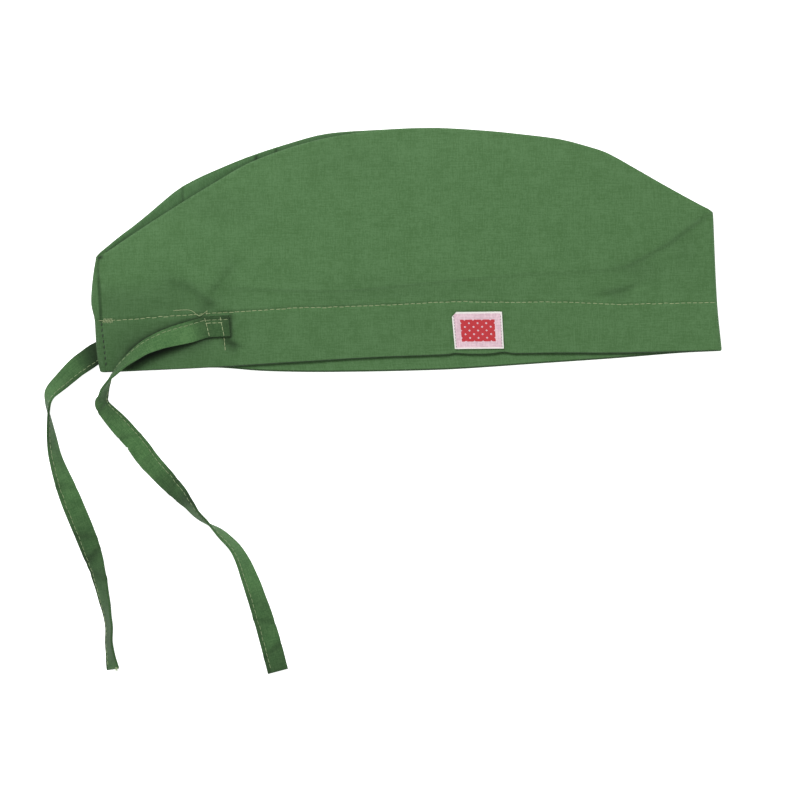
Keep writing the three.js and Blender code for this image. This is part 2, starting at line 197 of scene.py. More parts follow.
hem_edge = {side: smooth_line(rows) for side, rows in HEM_EDGE.items()}
crown_seam = {side: smooth_line(rows) for side, rows in SEAM.items()}
tuck_fold = {side: smooth_line(rows) for side, rows in TUCK_FOLD.items()}
stitch_line, back_fold, front_fold, back_seam, near_rise = (
    smooth_line(rows) for rows in (STITCH_LINE, BACK_FOLD, FRONT_FOLD, BACK_SEAM, NEAR_RISE)
)


def levels(side, along):
    """The heights on the table of a side's hem edge, stitching, tucked fold and crown seam."""
    edge = y_at(hem_edge[side](along))
    stitching = y_at(stitch_line(along)) if side == "near" else edge + HEM_DEPTH
    return edge, stitching, y_at(tuck_fold[side](along)), y_at(crown_seam[side](along))


def near_station(along, y):
    """The near side's station at a height on the table."""
    rows = levels("near", along)
    i = 0 if y < rows[1] else 1 if y < rows[2] else 2
    return min(max(i + (y - rows[i]) / (rows[i + 1] - rows[i]), 0), LAST_STATION)


def side_ends(y):
    """Where a side's flat part begins and ends at a height on the table, inside the round folds."""
    return x_at(back_fold(up_at(y))) + FOLD_RADIUS, x_at(front_fold(up_at(y))) - FOLD_RADIUS


def tie_room(along, station):
    """How far the cap is lifted by the tie under it."""
    return TIE_LIFT * (1 - ease(along, *LIFT_END_ALONG)) * (1 - ease(station, *LIFT_END_STATION))


def plain_height(along, station, share):
    """The height of the near side's outside without its creases, at a share of the way along it."""
    level = 1 - abs(2 * share - 1) ** RISE_FLATNESS
    return tie_room(along, station) + FOLD_STACK + GREATEST_RISE * near_rise(station) * level


# Creases of the near side. kind is step, ridge or ditch; height and width are in millimetres; each
# point of a line is (along, up, strength), and a step is high on the upper side of its line and falls
# off again over fall millimetres.
CREASES = [
    dict(kind="step", height=2.2, width=2.0, fall=18, line=[
        (0.986, 0.663, 0.8), (0.961, 0.613, 1), (0.918, 0.528, 1), (0.886, 0.483, 0.9),
        (0.851, 0.434, 0.7), (0.799, 0.415, 0.3), (0.696, 0.403, 0.16), (0.537, 0.37, 0.16),
        (0.426, 0.341, 0.1), (0.36, 0.325, 0),
    ]),
    dict(kind="ditch", height=1.9, width=3.4, line=[
        (0.185, 0.268, 1), (0.157, 0.312, 0.95), (0.125, 0.355, 0.7), (0.093, 0.44, 0),
    ]),
    dict(kind="ridge", height=1.0, width=2.6, line=[
        (0.19, 0.3, 1), (0.165, 0.355, 0.7), (0.138, 0.43, 0),
    ]),
    dict(kind="ditch", height=1.8, width=2.8, line=[
        (0.19, 0.275, 0.6), (0.2, 0.33, 1), (0.222, 0.4, 0.65), (0.245, 0.47, 0),
    ]),
    dict(kind="ditch", height=1.3, width=2.8, line=[
        (0.152, 0.26, 0.8), (0.11, 0.262, 0.5), (0.07, 0.28, 0),
    ]),
    dict(kind="ditch", height=2.2, width=1.1, line=[
        (0.214, 0.135, 0.4), (0.222, 0.118, 1), (0.234, 0.1, 0.6), (0.25, 0.088, 0),
    ]),
    dict(kind="ditch", height=1.6, width=1.0, line=[
        (0.213, 0.118, 0.3), (0.219, 0.1, 1), (0.224, 0.083, 0),
    ]),
    dict(kind="ditch", height=1.7, width=2.2, line=[
        (0.79, 0.3, 0), (0.816, 0.31, 0.8), (0.851, 0.329, 1), (0.885, 0.37, 0),
    ]),
    dict(kind="ridge", height=0.6, width=1.1, line=[
        (along, up - 0.012, 1) for along, up in SEAM["near"][1:-1]
    ]),
    dict(kind="ditch", height=0.5, width=5, line=[
        (0.735, 0.82, 0), (0.77, 0.76, 0.9), (0.81, 0.66, 0.9), (0.838, 0.54, 0),
    ]),
    dict(kind="ditch", height=0.6, width=7, line=[
        (0.455, 0.6, 0), (0.5, 0.57, 1), (0.545, 0.55, 0.8), (0.585, 0.57, 0),
    ]),
    dict(kind="ditch", height=0.6, width=6, line=[
        (0.36, 0.83, 0), (0.43, 0.885, 0.8), (0.5, 0.92, 1), (0.585, 0.9, 0),
    ]),
    dict(kind="ridge", height=0.5, width=6, line=[
        (0.06, 0.36, 0.3), (0.1, 0.5, 0.8), (0.16, 0.6, 0.6), (0.25, 0.66, 0),
    ]),
    dict(kind="ditch", height=0.3, width=2.2, line=[
        (0.331, 0.378, 0.2), (0.328, 0.33, 0.9), (0.322, 0.28, 0.3),
    ]),
    dict(kind="step", height=-0.35, width=1.2, fall=20, line=[
        (0.03, 0.232, 0.4), (0.129, 0.248, 1), (0.331, 0.281, 1), (0.58, 0.305, 1),
        (0.743, 0.304, 1), (0.97, 0.303, 1),
    ]),
]
STEP_FOOT = 0.35  # how much of its width a step needs to rise
for crease in CREASES:
    crease["line"] = [(x_at(along), y_at(up), strength) for along, up, strength in crease["line"]]
    crease["reach"] = 3 * max(crease["width"], crease.get("fall", 0)) * MM
    crease["from"] = min(point[0] for point in crease["line"]) - crease["reach"]
    crease["to"] = max(point[0] for point in crease["line"]) + crease["reach"]

# The cloth's own unevenness: height and span of each size of wave, in millimetres. It fades towards
# the round folds and the crown seam, to a share of what it is elsewhere.
WAVES = [(0.42, 46), (0.16, 17), (0.05, 6.5)]
FAR_WAVES = 0.5  # the far side's, which lies on the table, as a share of the near side's
FOLD_FADE, WAVES_AT_FOLD = 9 * MM, 0.25
SEAM_FADE, WAVES_AT_SEAM = 6 * MM, 0.4
# The ditches that the hem's stitching and the back seam press into the cloth. Over the hem, up to
# these shares of the height, the seam's ditch is shallower.
STITCH_DITCH, STITCH_DITCH_WIDTH = 0.4 * MM, 0.7 * MM
SEAM_DITCH, SEAM_DITCH_WIDTH = 1.8 * MM, 0.5 * MM
SEAM_OVER_HEM = (0.18, 0.23)
SEAM_DITCH_OVER_HEM = 0.35

# Painted shade on the near side: low at its back end, on the strip behind the back seam, above and
# low down, and along that seam. The pairs of shares say where a shade begins to fade and ends.
BACK_END_SHADE, BACK_END_UP, BACK_END_ALONG = 0.1, (0.29, 0.4), (0.1, 0.33)
BACK_STRIP_SHADE, BACK_STRIP_UP, BACK_STRIP_EDGE = (0.06, 0.13), (0.16, 0.3), 0.5 * MM
BACK_SEAM_SHADE, BACK_SEAM_SHADE_WIDTH = 0.2, 0.4 * MM
DARKEST_SHADE = 0.9
# Painted shade in soft hollows of the near side: along, up, how far each reaches along and up in
# millimetres, and how much darker the painted shade makes it
PAINTED_HOLLOW_SHADES = [
    (0.185, 0.268, 5, 4, 0.08), (0.13, 0.36, 9, 5, 0.05), (0.215, 0.42, 5, 7, 0.04),
    (0.19, 0.68, 26, 8, 0.035), (0.87, 0.42, 12, 6, 0.05), (0.835, 0.32, 6, 3, 0.08),
    (0.94, 0.5, 7, 10, 0.03), (0.46, 0.36, 26, 5, 0.03), (0.4, 0.86, 30, 9, 0.025),
    (0.225, 0.1, 3, 2.5, 0.12), (0.06, 0.13, 10, 12, 0.02), (0.0139, 0.4715, 1.2, 1.0, 0.6),
]
# How much painted shade the near and the far side's hem get round their lower edge, for the shaded gap
# between them, from the inside out
HEM_RIM_SHADES = [(0.95, 0.4), (0.95, 0.35), (0.9, 0.25), (0.88, 0.15), (0.68, 0.08), (0.1, 0)]
# Narrow deep shade painted on the near side along lines: how far it reaches below and above its line,
# and the line as x, y and how much darker the painted shade makes the cloth there, in millimetres
SHADE_LINES = [
    # Painted shadow under the near tie's lower edge
    (1.9, 4.0, [
        (-134.5, -58.0, 0.3), (-127.7, -53.0, 0.7), (-122.9, -50.4, 0.8), (-115.7, -47.9, 0.7),
        (-108.5, -45.8, 0.6), (-101.3, -43.5, 0.6), (-95.6, -42.1, 0.4), (-92.0, -41.6, 0),
    ]),
    (0.7, 0.7, [(-96.0, -42.0, 0), (-93.0, -41.7, 0.45), (-85.0, -41.3, 0.35)]),
    # Painted shade over its upper edge
    (0.9, 0.9, [
        (-139.1, -57.0, 0.15), (-132.4, -47.9, 0.3), (-126.2, -43.1, 0.35), (-118.1, -38.8, 0.35),
        (-108.5, -35.2, 0.35), (-100.3, -32.8, 0.3), (-96.5, -32.1, 0.15),
    ]),
    # Painted shade beside its sewn end
    (0.7, 0.7, [(-84.0, -31.0, 0.3), (-84.0, -41.0, 0.45)]),
    # Painted shade in a wrinkle that runs from the sewn end
    (1.1, 1.1, [(-86.0, -44.1, 0.35), (-83.1, -45.3, 0.3), (-79.8, -46.9, 0)]),
]


def from_line(x, y, line):
    """How far a place is from a line of points, on which side, and the line's strength there."""
    best = (math.inf, 1, 0.0)
    for (xa, ya, strength_a), (xb, yb, strength_b) in zip(line, line[1:]):
        dx, dy = xb - xa, yb - ya
        t = min(max(((x - xa) * dx + (y - ya) * dy) / (dx * dx + dy * dy), 0), 1)
        off_x, off_y = x - xa - t * dx, y - ya - t * dy
        gap = math.hypot(off_x, off_y)
        if gap < best[0]:
            above = 1 if off_y * abs(dx) - off_x * dy * (1 if dx > 0 else -1) > 0 else -1
            best = (gap, above, lerp(strength_a, strength_b, t))
    return best


def crease_height(crease, x, y):
    """How far one crease lifts the cloth at a place, or sinks it."""
    if not crease["from"] < x < crease["to"]:
        return 0.0
    gap, above, strength = from_line(x, y, crease["line"])
    height, width = crease["height"] * MM * strength, crease["width"] * MM
    if crease["kind"] == "step":
        signed = gap * above
        foot = 1 / (1 + math.exp(-min(max(signed / (width * STEP_FOOT), -30), 30)))
        return height * foot * math.exp(-max(signed, 0) / (crease["fall"] * MM))
    return height * bell(gap, width) * (1 if crease["kind"] == "ridge" else -1)


def waves(x, y, seed=0.0):
    """Soft unevenness of cloth that lies loosely."""
    return sum(
        height * MM * noise.noise(Vector((x, y, 0)) / (span * MM) + Vector((seed, 0, span)))
        for height, span in WAVES
    )


def relief(x, y):
    """How far the near side's cloth stands above its plain form."""
    along, up = along_at(x), up_at(y)
    by_fold = ease(min(x - x_at(back_fold(up)), x_at(front_fold(up)) - x), 0, FOLD_FADE)
    by_seam = ease(y_at(crown_seam["near"](along)) - y, 0, SEAM_FADE)
    total = waves(x, y) * lerp(WAVES_AT_FOLD, 1, by_fold) * lerp(WAVES_AT_SEAM, 1, by_seam)
    total += sum(crease_height(crease, x, y) for crease in CREASES)
    total -= STITCH_DITCH * bell(y - y_at(stitch_line(along)), STITCH_DITCH_WIDTH)
    depth = SEAM_DITCH * lerp(SEAM_DITCH_OVER_HEM, 1, ease(up, *SEAM_OVER_HEM))
    return total - depth * bell(x - x_at(back_seam(up)), SEAM_DITCH_WIDTH)


def near_shade(x, y):
    """Painted shade on the near side: in its hollows, along lines, by the back seam and low at its back
    end.
    """
    along, up = along_at(x), up_at(y)
    from_seam = x - x_at(back_seam(up))
    total = BACK_END_SHADE * (1 - ease(up, *BACK_END_UP)) * (1 - ease(along, *BACK_END_ALONG))
    on_strip = lerp(*BACK_STRIP_SHADE, 1 - ease(up, *BACK_STRIP_UP))
    total = lerp(total, on_strip, 1 - ease(from_seam, -BACK_STRIP_EDGE, 0))
    total += BACK_SEAM_SHADE * bell(from_seam, BACK_SEAM_SHADE_WIDTH) * ease(up, *SEAM_OVER_HEM)
    for at, height, reach_x, reach_y, darker in PAINTED_HOLLOW_SHADES:
        total += darker * bell(x - x_at(at), reach_x * MM) * bell(y - y_at(height), reach_y * MM)
    for reach_below, reach_above, line in SHADE_LINES:
        gap, above, darker = from_line(x / MM, y / MM, line)
        reach = reach_above if above > 0 else reach_below
        total += darker * math.exp(-min(gap / reach, 30))
    return min(total, DARKEST_SHADE)


def near_top(x, y):
    """The height of the near side's outside."""
    station = near_station(along_at(x), y)
    back, front = side_ends(y)
    share = min(max((x - back) / (front - back), 0), 1)
    return plain_height(along_at(x), station, share) + relief(x, y)


def near_normal(x, y):
    """The way out of the near side."""
    step = 0.5 * MM
    slope_x = (near_top(x + step, y) - near_top(x - step, y)) / (2 * step)
    slope_y = (near_top(x, y + step) - near_top(x, y - step)) / (2 * step)
    return Vector((-slope_x, -slope_y, 1)).normalized()


# ---------------------------------------------------------------- how pieces are made

# A painted shade is given as a share of the screen's brightness; the mesh holds it as a share of light
SCREEN_GAMMA = 2.2


def add_object(name, data):
    thing = bpy.data.objects.new(name, data)
    bpy.context.collection.objects.link(thing)
    return thing


def smooth_mesh(name, vertices, faces, material):
    mesh = bpy.data.meshes.new(name)
    mesh.from_pydata(vertices, [], faces)
    mesh.polygons.foreach_set("use_smooth", [True] * len(mesh.polygons))
    mesh.materials.append(material)
    return mesh


def closed_piece(name, mesh):
    """A closed mesh as a piece, with its faces turned outwards."""
    piece = add_object(name, mesh)
    bpy.ops.object.select_all(action="DESELECT")
    piece.select_set(True)
    bpy.context.view_layer.objects.active = piece
    bpy.ops.object.mode_set(mode="EDIT")
    bpy.ops.mesh.select_all(action="SELECT")
    bpy.ops.mesh.normals_make_consistent(inside=False)
    bpy.ops.object.mode_set(mode="OBJECT")
    piece.select_set(False)
    return piece


def cloth_piece(name, rows, closed_rows, places, shades, material):
    """A piece over rows of points that close on themselves. The last row joins the first with
    closed_rows, and without it both are capped. places holds each point's place on the flat cloth, with
    one more at the end of a row, and shades says how much painted shade each point gets."""
    count, last = len(rows[0]), len(rows) - 1
    faces, corners = [], []
    for i in range(len(rows) if closed_rows else last):
        below = (i + 1) % len(rows)
        for j in range(count):
            k = (j + 1) % count
            faces.append((i * count + j, i * count + k, below * count + k, below * count + j))
            corners += [places[i][j], places[i][j + 1], places[below][j + 1], places[below][j]]
    if not closed_rows:
        faces += [list(reversed(range(count))), [last * count + j for j in range(count)]]
        corners += places[0][:count][::-1] + places[last][:count]
    mesh = smooth_mesh(name, [point for row in rows for point in row], faces, material)
    layer = mesh.uv_layers.new(name="cloth")
    layer.data.foreach_set("uv", [value for corner in corners for value in corner])
    # The shade attribute holds painted shade, which the cloth's material lays over its colour
    shade = mesh.attributes.new("shade", "FLOAT", "POINT")
    darker = [1 - (1 - value) ** SCREEN_GAMMA for row in shades for value in row]
    shade.data.foreach_set("value", darker)
    return closed_piece(name, mesh)


def belongs(piece, slot, *nodes):
    """Fixes a finished piece to the cap and hides the solids it stands for."""
    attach(piece, "root")
    if nodes:
        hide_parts(*nodes)
    return piece


# ---------------------------------------------------------------- the camera

camera_data = bpy.data.cameras.new("camera")
camera_data.sensor_width = 36
camera_data.lens = camera_data.sensor_width * CAMERA_HEIGHT / VIEW_WIDTH
camera_data.clip_end = 20
camera = add_object("camera", camera_data)
camera.location = (VIEW_MIDDLE.x, VIEW_MIDDLE.y, CAMERA_HEIGHT)
bpy.context.scene.camera = camera


# ---------------------------------------------------------------- materials

def add_node(tree, kind, inputs=None, **settings):
    """A shader node with these settings, and these values on its inputs."""
    node = tree.nodes.new("ShaderNode" + kind)
    for name, value in settings.items():
        setattr(node, name, value)
    for name, value in (inputs or {}).items():
        node.inputs[name].default_value = value
    return node


def link(tree, source, target, socket):
    """Links a source, which is a pair of node and output name, to a node's input."""
    tree.links.new(source[0].outputs[source[1]], target.inputs[socket])


def maths(tree, operation, first, second=0):
    """A maths node as a source. Each term is a number or a source."""
    node = add_node(tree, "Math", operation=operation)
    for i, term in enumerate((first, second)):
        if isinstance(term, tuple):
            link(tree, term, node, i)
        else:
            node.inputs[i].default_value = term
    return node, "Value"


def ramp(tree, source, low, dark, high, light):
    """A colour from dark, where the source is low, to light, where it is high."""
    node = add_node(tree, "ValToRGB")
    for element, position, colour in zip(node.color_ramp.elements, (low, high), (dark, light)):
        element.position = position
        element.color = colour
    link(tree, source, node, "Fac")
    return node, "Color"


def laid_over(tree, factor, colour, under):
    """A plain colour over another by a factor."""
    node = add_node(tree, "Mix", data_type="RGBA")
    link(tree, factor, node, "Factor")
    link(tree, under, node, 6)
    node.inputs[7].default_value = colour
    return node, 2


def bump(tree, source, depth, shader):
    """Makes the source stand out by a depth, in metres."""
    node = add_node(tree, "Bump", {"Distance": depth})
    link(tree, source, node, "Height")
    link(tree, (node, "Normal"), shader, "Normal")


def new_material(name, roughness, sheen=0.0):
    """A material with its shader's node."""
    material = bpy.data.materials.new(name)
    material.use_nodes = True
    shader = material.node_tree.nodes["Principled BSDF"]
    shader.inputs["Roughness"].default_value = roughness
    shader.inputs["Sheen Weight"].default_value = sheen
    return material, shader


def srgb(red, green, blue):
    """A colour on a 0 to 255 scale as Blender's linear one."""
    shares = [value / 255 for value in (red, green, blue)]
    linear = [s / 12.92 if s <= 0.04045 else ((s + 0.055) / 1.055) ** 2.4 for s in shares]
    return (*linear, 1)


def streaks(tree, place, across, down, detail, seed):
    """Noise stretched into streaks of these lengths, in millimetres, over a place on the flat cloth."""
    mapping = add_node(tree, "Mapping", {
        "Location": (seed, seed * 0.7, 0), "Scale": (1 / (across * MM), 1 / (down * MM), 1),
    })
    link(tree, place, mapping, "Vector")
    values = {"Scale": 1, "Detail": detail, "Roughness": 0.55}
    texture = add_node(tree, "TexNoise", values, noise_dimensions="2D")
    link(tree, (mapping, "Vector"), texture, "Vector")
    return texture, "Fac"


YARN_PITCH = 0.62 * MM  # two yarns, one over and one under
# Lengths across and down, in millimetres, detail and seed of the yarns both ways, of the long thick
# spots both ways, of flecks and of blotches
STREAKS = [
    (4.2, 0.5, 2, 3.1), (0.5, 3.6, 2, 7.7), (15, 0.8, 1, 11.3), (0.8, 13, 1, 17.9),
    (0.8, 0.8, 2, 29.3), (9, 9, 3, 23.5),
]


def build_plain_weave():
    """Plain weave of uneven yarns. Tone is light on thick yarns and dark in worn, dense spots. Height
    is the yarns' own relief. Both are about 0.5 in the mean."""
    group = bpy.data.node_groups.new("plain_weave", "ShaderNodeTree")
    group.interface.new_socket("Place", in_out="INPUT", socket_type="NodeSocketVector")
    slubs_in = group.interface.new_socket("Slubs", in_out="INPUT", socket_type="NodeSocketFloat")
    slubs_in.default_value = 1.0
    group.interface.new_socket("Tone", in_out="OUTPUT", socket_type="NodeSocketFloat")
    group.interface.new_socket("Height", in_out="OUTPUT", socket_type="NodeSocketFloat")
    given, result = group.nodes.new("NodeGroupInput"), group.nodes.new("NodeGroupOutput")

    def centred(source, middle):
        return maths(group, "SUBTRACT", source, middle)

    place = (given, "Place")
    weft, warp, long_weft, long_warp, flecks, blotches = (
        streaks(group, place, *row) for row in STREAKS
    )
    flecks = centred(flecks, 0.5)
    blotches = maths(group, "MULTIPLY", centred(blotches, 0.5), 0.7)
    slubs = centred(maths(group, "ADD", long_weft, long_warp), 1.0)
    slubs = maths(group, "MULTIPLY", slubs, (given, "Slubs"))
    yarns = centred(maths(group, "ADD", weft, warp), 1.0)
    yarns = maths(group, "ADD", yarns, maths(group, "MULTIPLY", slubs, 0.5))
    tone = maths(group, "ADD", maths(group, "ADD", yarns, flecks), blotches)
    tone = maths(group, "ADD", tone, 0.5)

    # Yarns go over and under each other
    split = add_node(group, "SeparateXYZ")
    link(group, place, split, "Vector")
    turns = 2 * math.pi / YARN_PITCH
    over = maths(group, "SINE", maths(group, "MULTIPLY", (split, "X"), turns))
    under = maths(group, "SINE", maths(group, "MULTIPLY", (split, "Y"), turns))
    lattice = maths(group, "MULTIPLY", maths(group, "MULTIPLY", over, under), 0.35)
    height = maths(group, "ADD", maths(group, "ADD", yarns, lattice), 0.5)
    link(group, tone, result, "Tone")
    link(group, height, result, "Height")
    return group


plain_weave = build_plain_weave()


def woven(tree, slubs=1.0):
    """The weave's node on a piece's own flat cloth, and the place on that cloth as a source."""
    place = (add_node(tree, "UVMap", uv_map="cloth"), "UV")
    weave = add_node(tree, "Group", {"Slubs": slubs}, node_tree=plain_weave)
    link(tree, place, weave, "Place")
    return weave, place


# The colour that painted shade darkens cloth towards
DEEP_SHADE = srgb(4, 14, 4)
CLOTH_ROUGHNESS = 0.85
CLOTH_SHEEN = 0.03
YARN_DEPTH = 0.024 * MM
TIE_YARN_DEPTH = 0.025 * MM


def cloth_material(name, dark, light, depth=YARN_DEPTH, slubs=1.0):
    """Woven cloth between two colours, with the painted shade that its mesh holds laid over them.
    depth is how far its yarns stand out, in metres.
    """
    material, shader = new_material(name, CLOTH_ROUGHNESS, CLOTH_SHEEN)
    tree = material.node_tree
    shader.inputs["Specular IOR Level"].default_value = 0.25
    shader.inputs["Sheen Roughness"].default_value = 0.5
    weave, place = woven(tree, slubs)
    green = ramp(tree, (weave, "Tone"), 0.15, dark, 0.85, light)
    # The mesh's shade attribute paints shade over the weave's colour
    shade = (add_node(tree, "Attribute", attribute_name="shade"), "Fac")
    link(tree, laid_over(tree, shade, DEEP_SHADE, green), shader, "Base Color")
    bump(tree, (weave, "Height"), depth, shader)
    return material


def thread_material(name, colour):
    """Twisted thread: fine plies along it, with a painted highlight on their crests and painted shade
    between.
    """
    material, shader = new_material(name, roughness=0.6, sheen=0.1)
    tree = material.node_tree
    place = (add_node(tree, "TexCoord"), "Object")
    plies = add_node(tree, "TexNoise", {"Scale": 2600, "Detail": 1})
    link(tree, place, plies, "Vector")
    # Troughs darker and crests lighter, following the bump: painted shade and painted highlight
    dark = (*[share * 0.72 for share in colour[:3]], 1)
    link(tree, ramp(tree, (plies, "Fac"), 0.3, dark, 0.65, colour), shader, "Base Color")
    bump(tree, (plies, "Fac"), 0.03 * MM, shader)
    return material


green_cloth = cloth_material("green_cloth", srgb(64, 98, 56), srgb(77, 111, 70))
# A lighter copy of the cloth for the crown: painted light on the strip that shows past the near side
lit_crown_cloth = cloth_material("green_cloth_crown_lit", srgb(66, 101, 60), srgb(78, 113, 73))
green_tie = cloth_material("green_tie", srgb(57, 94, 51), srgb(77, 113, 67), TIE_YARN_DEPTH, 0.6)
pale_thread = thread_material("pale_thread", srgb(158, 172, 126))
dull_thread = thread_material("dull_thread", srgb(138, 157, 112))
# Near-black thread for the back seam: painted shade in the seam's ditch
seam_shade_thread = thread_material("seam_shade_thread", srgb(22, 38, 20))
grey_thread = thread_material("grey_thread", srgb(150, 146, 148))


# ---------------------------------------------------------------- the ties

# Routes of the ties, from the sewn end to the free end: x, y, turn in degrees, lift, and how much
# painted shade the cloth gets there, with lengths in millimetres. A tie lies flat at 0 with its
# stitched edge on the right of the way it runs, stands on that edge at 90, lies the other way up at 180
# and stands with that edge up at 270.
NEAR_TIE_ROUTE = [
    (-84.5, -36.4, 0, 0, 0.3), (-90.0, -36.7, 0, 0, 0.22), (-95.6, -37.1, 2, 0, 0.26),
    (-103.7, -39.4, 15, 0.3, 0.05), (-112.0, -41.6, 32, 0.6, 0), (-118.6, -43.9, 45, 0.7, 0),
    (-126.2, -47.6, 58, 0.7, 0), (-132.4, -52.0, 68, 0.8, 0.05), (-138.2, -57.4, 78, 1.2, 0.13),
    (-142.1, -61.7, 90, 5.8, 0.14), (-144.0, -65.5, 105, 3.0, 0.09), (-145.2, -69.8, 113, 1.4, 0.22),
    (-146.1, -72.8, 124, 0.7, 0.2), (-145.4, -75.0, 133, 0.2, 0.17), (-142.6, -78.4, 140, 0, 0.08),
    (-136.7, -84.7, 158, 0, 0.07), (-130.2, -92.0, 158, 0, 0.02), (-122.7, -101.6, 196, 0, 0),
    (-113.1, -112.0, 212, 0, 0.19), (-105.0, -120.7, 237.5, 0, 0.2), (-100.9, -126.1, 253, 0, 0.2),
    (-95.8, -130.4, 265, 0, 0.15), (-89.8, -135.0, 288, 0, 0), (-84.2, -140.2, 296, 0, 0),
    (-79.9, -145.8, 305, 0, 0), (-75.9, -154.8, 320, 0, 0), (-70.2, -171.0, 333, 0, 0.12),
    (-65.6, -186.3, 348, 0, 0.13), (-61.5, -201.9, 348, 0, 0.3),
]
POINTS_ON_HEM = 9
FAR_TIE_ROUTE = [
    (-84.5, -36.4, 180, 0, 0), (-96.3, -37.4, 180, 0, 0), (-114.0, -39.4, 180, 0, 0),
    (-132.0, -43.0, 180, 0, 0), (-147.9, -49.3, 182, 0, 0.48), (-153.5, -53.0, 192, 0, 0.36),
    (-158.2, -56.4, 204, 0, 0.17), (-164.9, -62.8, 219, 0, 0.1), (-170.2, -68.3, 236, 0, 0.04),
    (-171.4, -72.7, 256, 0, 0.07), (-171.4, -76.8, 267, 0, 0.27), (-170.7, -83.8, 282, 0, 0.2),
    (-169.2, -93.9, 299, 0, 0.15), (-166.9, -103.0, 311, 0, 0.07), (-160.5, -120.2, 346, 0, 0.06),
    (-153.1, -138.4, 372, 0, 0.24), (-149.3, -149.3, 396, 0, 0.24), (-146.8, -158.2, 411, 0, 0.28),
    (-144.8, -167.6, 421, 0, 0.22), (-142.5, -179.6, 431, 0, 0.29), (-142.2, -189.2, 430, 0, 0.31),
    (-140.4, -200.9, 414, 0, 0.17),
]
STEPS_PER_POINT = 14
# Creases across the ties: x, y, slant, depth and width in millimetres, and how much painted shade each
# gets
NEAR_TIE_CREASES = [
    (-145.3, -73.9, 0.25, 0.5, 0.8, 0.08), (-133.0, -89.5, -0.5, 0.4, 0.7, 0.08),
    (-124.0, -99.8, 0.4, 0.4, 1.2, 0.05), (-111.5, -113.0, 0.3, 0.4, 1.2, 0.1),
    (-106.0, -120.0, -0.3, 0.3, 2.6, 0.14), (-68.0, -177.5, 0.45, 0.7, 1.1, 0.1),
    (-63.6, -192.3, -0.5, 0.7, 1.2, 0.14),
]
FAR_TIE_CREASES = [
    (-163.0, -113.5, 0.4, 0.4, 1.2, 0.08), (-153.8, -137.0, 0.5, 0.5, 1.3, 0.1),
    (-151.0, -146.5, -0.5, 0.35, 1.1, 0.12), (-148.0, -155.5, 0.5, 0.35, 1.3, 0.08),
]
CREASE_SHADE_SPREAD = 1.6
# A small nick in the near tie's edge: x, y, depth and reach, and between which shares of its width it
# pulls the cloth in
NICK = (-133.6, -95.3, 0.55, 0.8)
NICK_SHARES = (0.3, 0.45)
# Points round a tie's section: a share of its width from its middle, and of half its thickness
TIE_SECTION = [
    (-0.5, 0.0), (-0.494, 0.45), (-0.475, 0.8), (-0.44, 0.97), (-0.38, 1.0), (-0.3, 1.0), (-0.2, 1.0),
    (-0.1, 1.0), (0.0, 1.0), (0.1, 1.0), (0.2, 1.0), (0.26, 1.0), (0.295, 0.85), (0.3235, 0.6),
    (0.352, 0.85), (0.39, 1.05), (0.44, 1.02), (0.475, 0.85), (0.494, 0.5), (0.5, 0.0),
]
# A tie's cloth lies unevenly: these heights and spans of waves are in millimetres
TIE_WAVES = [(0.5, 24), (0.3, 8)]
# The strip of a tie between its edge stitches and its edge is darker, from these shares of its width
EDGE_STRIP_SHADE, EDGE_STRIP_START = 0.09, (0.3, 0.34)
# Soft blotches of a tie: how dark, how long, and over how many widths
BLOTCH_SHADE, BLOTCH_LENGTH, BLOTCHES_ACROSS = 0.1, 7 * MM, 1.2
# The sewn end is folded under over this length, and thicker for it
SEWN_FOLD_END, SEWN_FOLD_SWELL = (10.6 * MM, 11.8 * MM), 0.45
END_ROUNDING, END_THICKNESS = 0.4 * MM, 0.3
# How far apart the two faces of a tie are on the flat cloth
FACE_APART = 30 * MM
# The lowest that a tie and the threads on it come over the table
TIE_LOWEST, TIE_THREAD_LOWEST = 0.02 * MM, 0.17 * MM


def tie_bed(row, on_hem):
    """The place under a tie's middle at a row of its route, and its turn there."""
    x, y, turn, lift = row[0] * MM, row[1] * MM, math.radians(row[2]), row[3] * MM
    if not on_hem:
        return Vector((x, y, LAYER_GAP / 2 + lift)), turn
    above = near_top(x, y + TIE_WIDTH / 2)
    below = near_top(x, y - TIE_WIDTH / 2)
    seat = (above + below) / 2 + LAYER_GAP + lift
    return Vector((x, y, seat)), turn - math.atan2(above - below, TIE_WIDTH)


def spline_point(points, at):
    """A point on the smooth line through points, at counted in points, and the way it runs there."""
    at = min(at, len(points) - 1 - 1e-6)
    i = int(at)
    t = at - i
    p1, p2 = points[i], points[i + 1]
    p0 = points[i - 1] if i > 0 else 2 * p1 - p2
    p3 = points[i + 2] if i + 2 < len(points) else 2 * p2 - p1
    d0, d1, d2 = (math.sqrt((b - a).length) for a, b in ((p0, p1), (p1, p2), (p2, p3)))
    m1 = ((p1 - p0) / d0 - (p2 - p0) / (d0 + d1) + (p2 - p1) / d1) * d1
    m2 = ((p2 - p1) / d1 - (p3 - p1) / (d1 + d2) + (p3 - p2) / d2) * d1
    a, b = 2 * p1 - 2 * p2 + m1 + m2, -3 * p1 + 3 * p2 - 2 * m1 - m2
    place = ((a * t + b) * t + m1) * t + p1
    way = (3 * a * t + 2 * b) * t + m1
    return place, way.normalized()


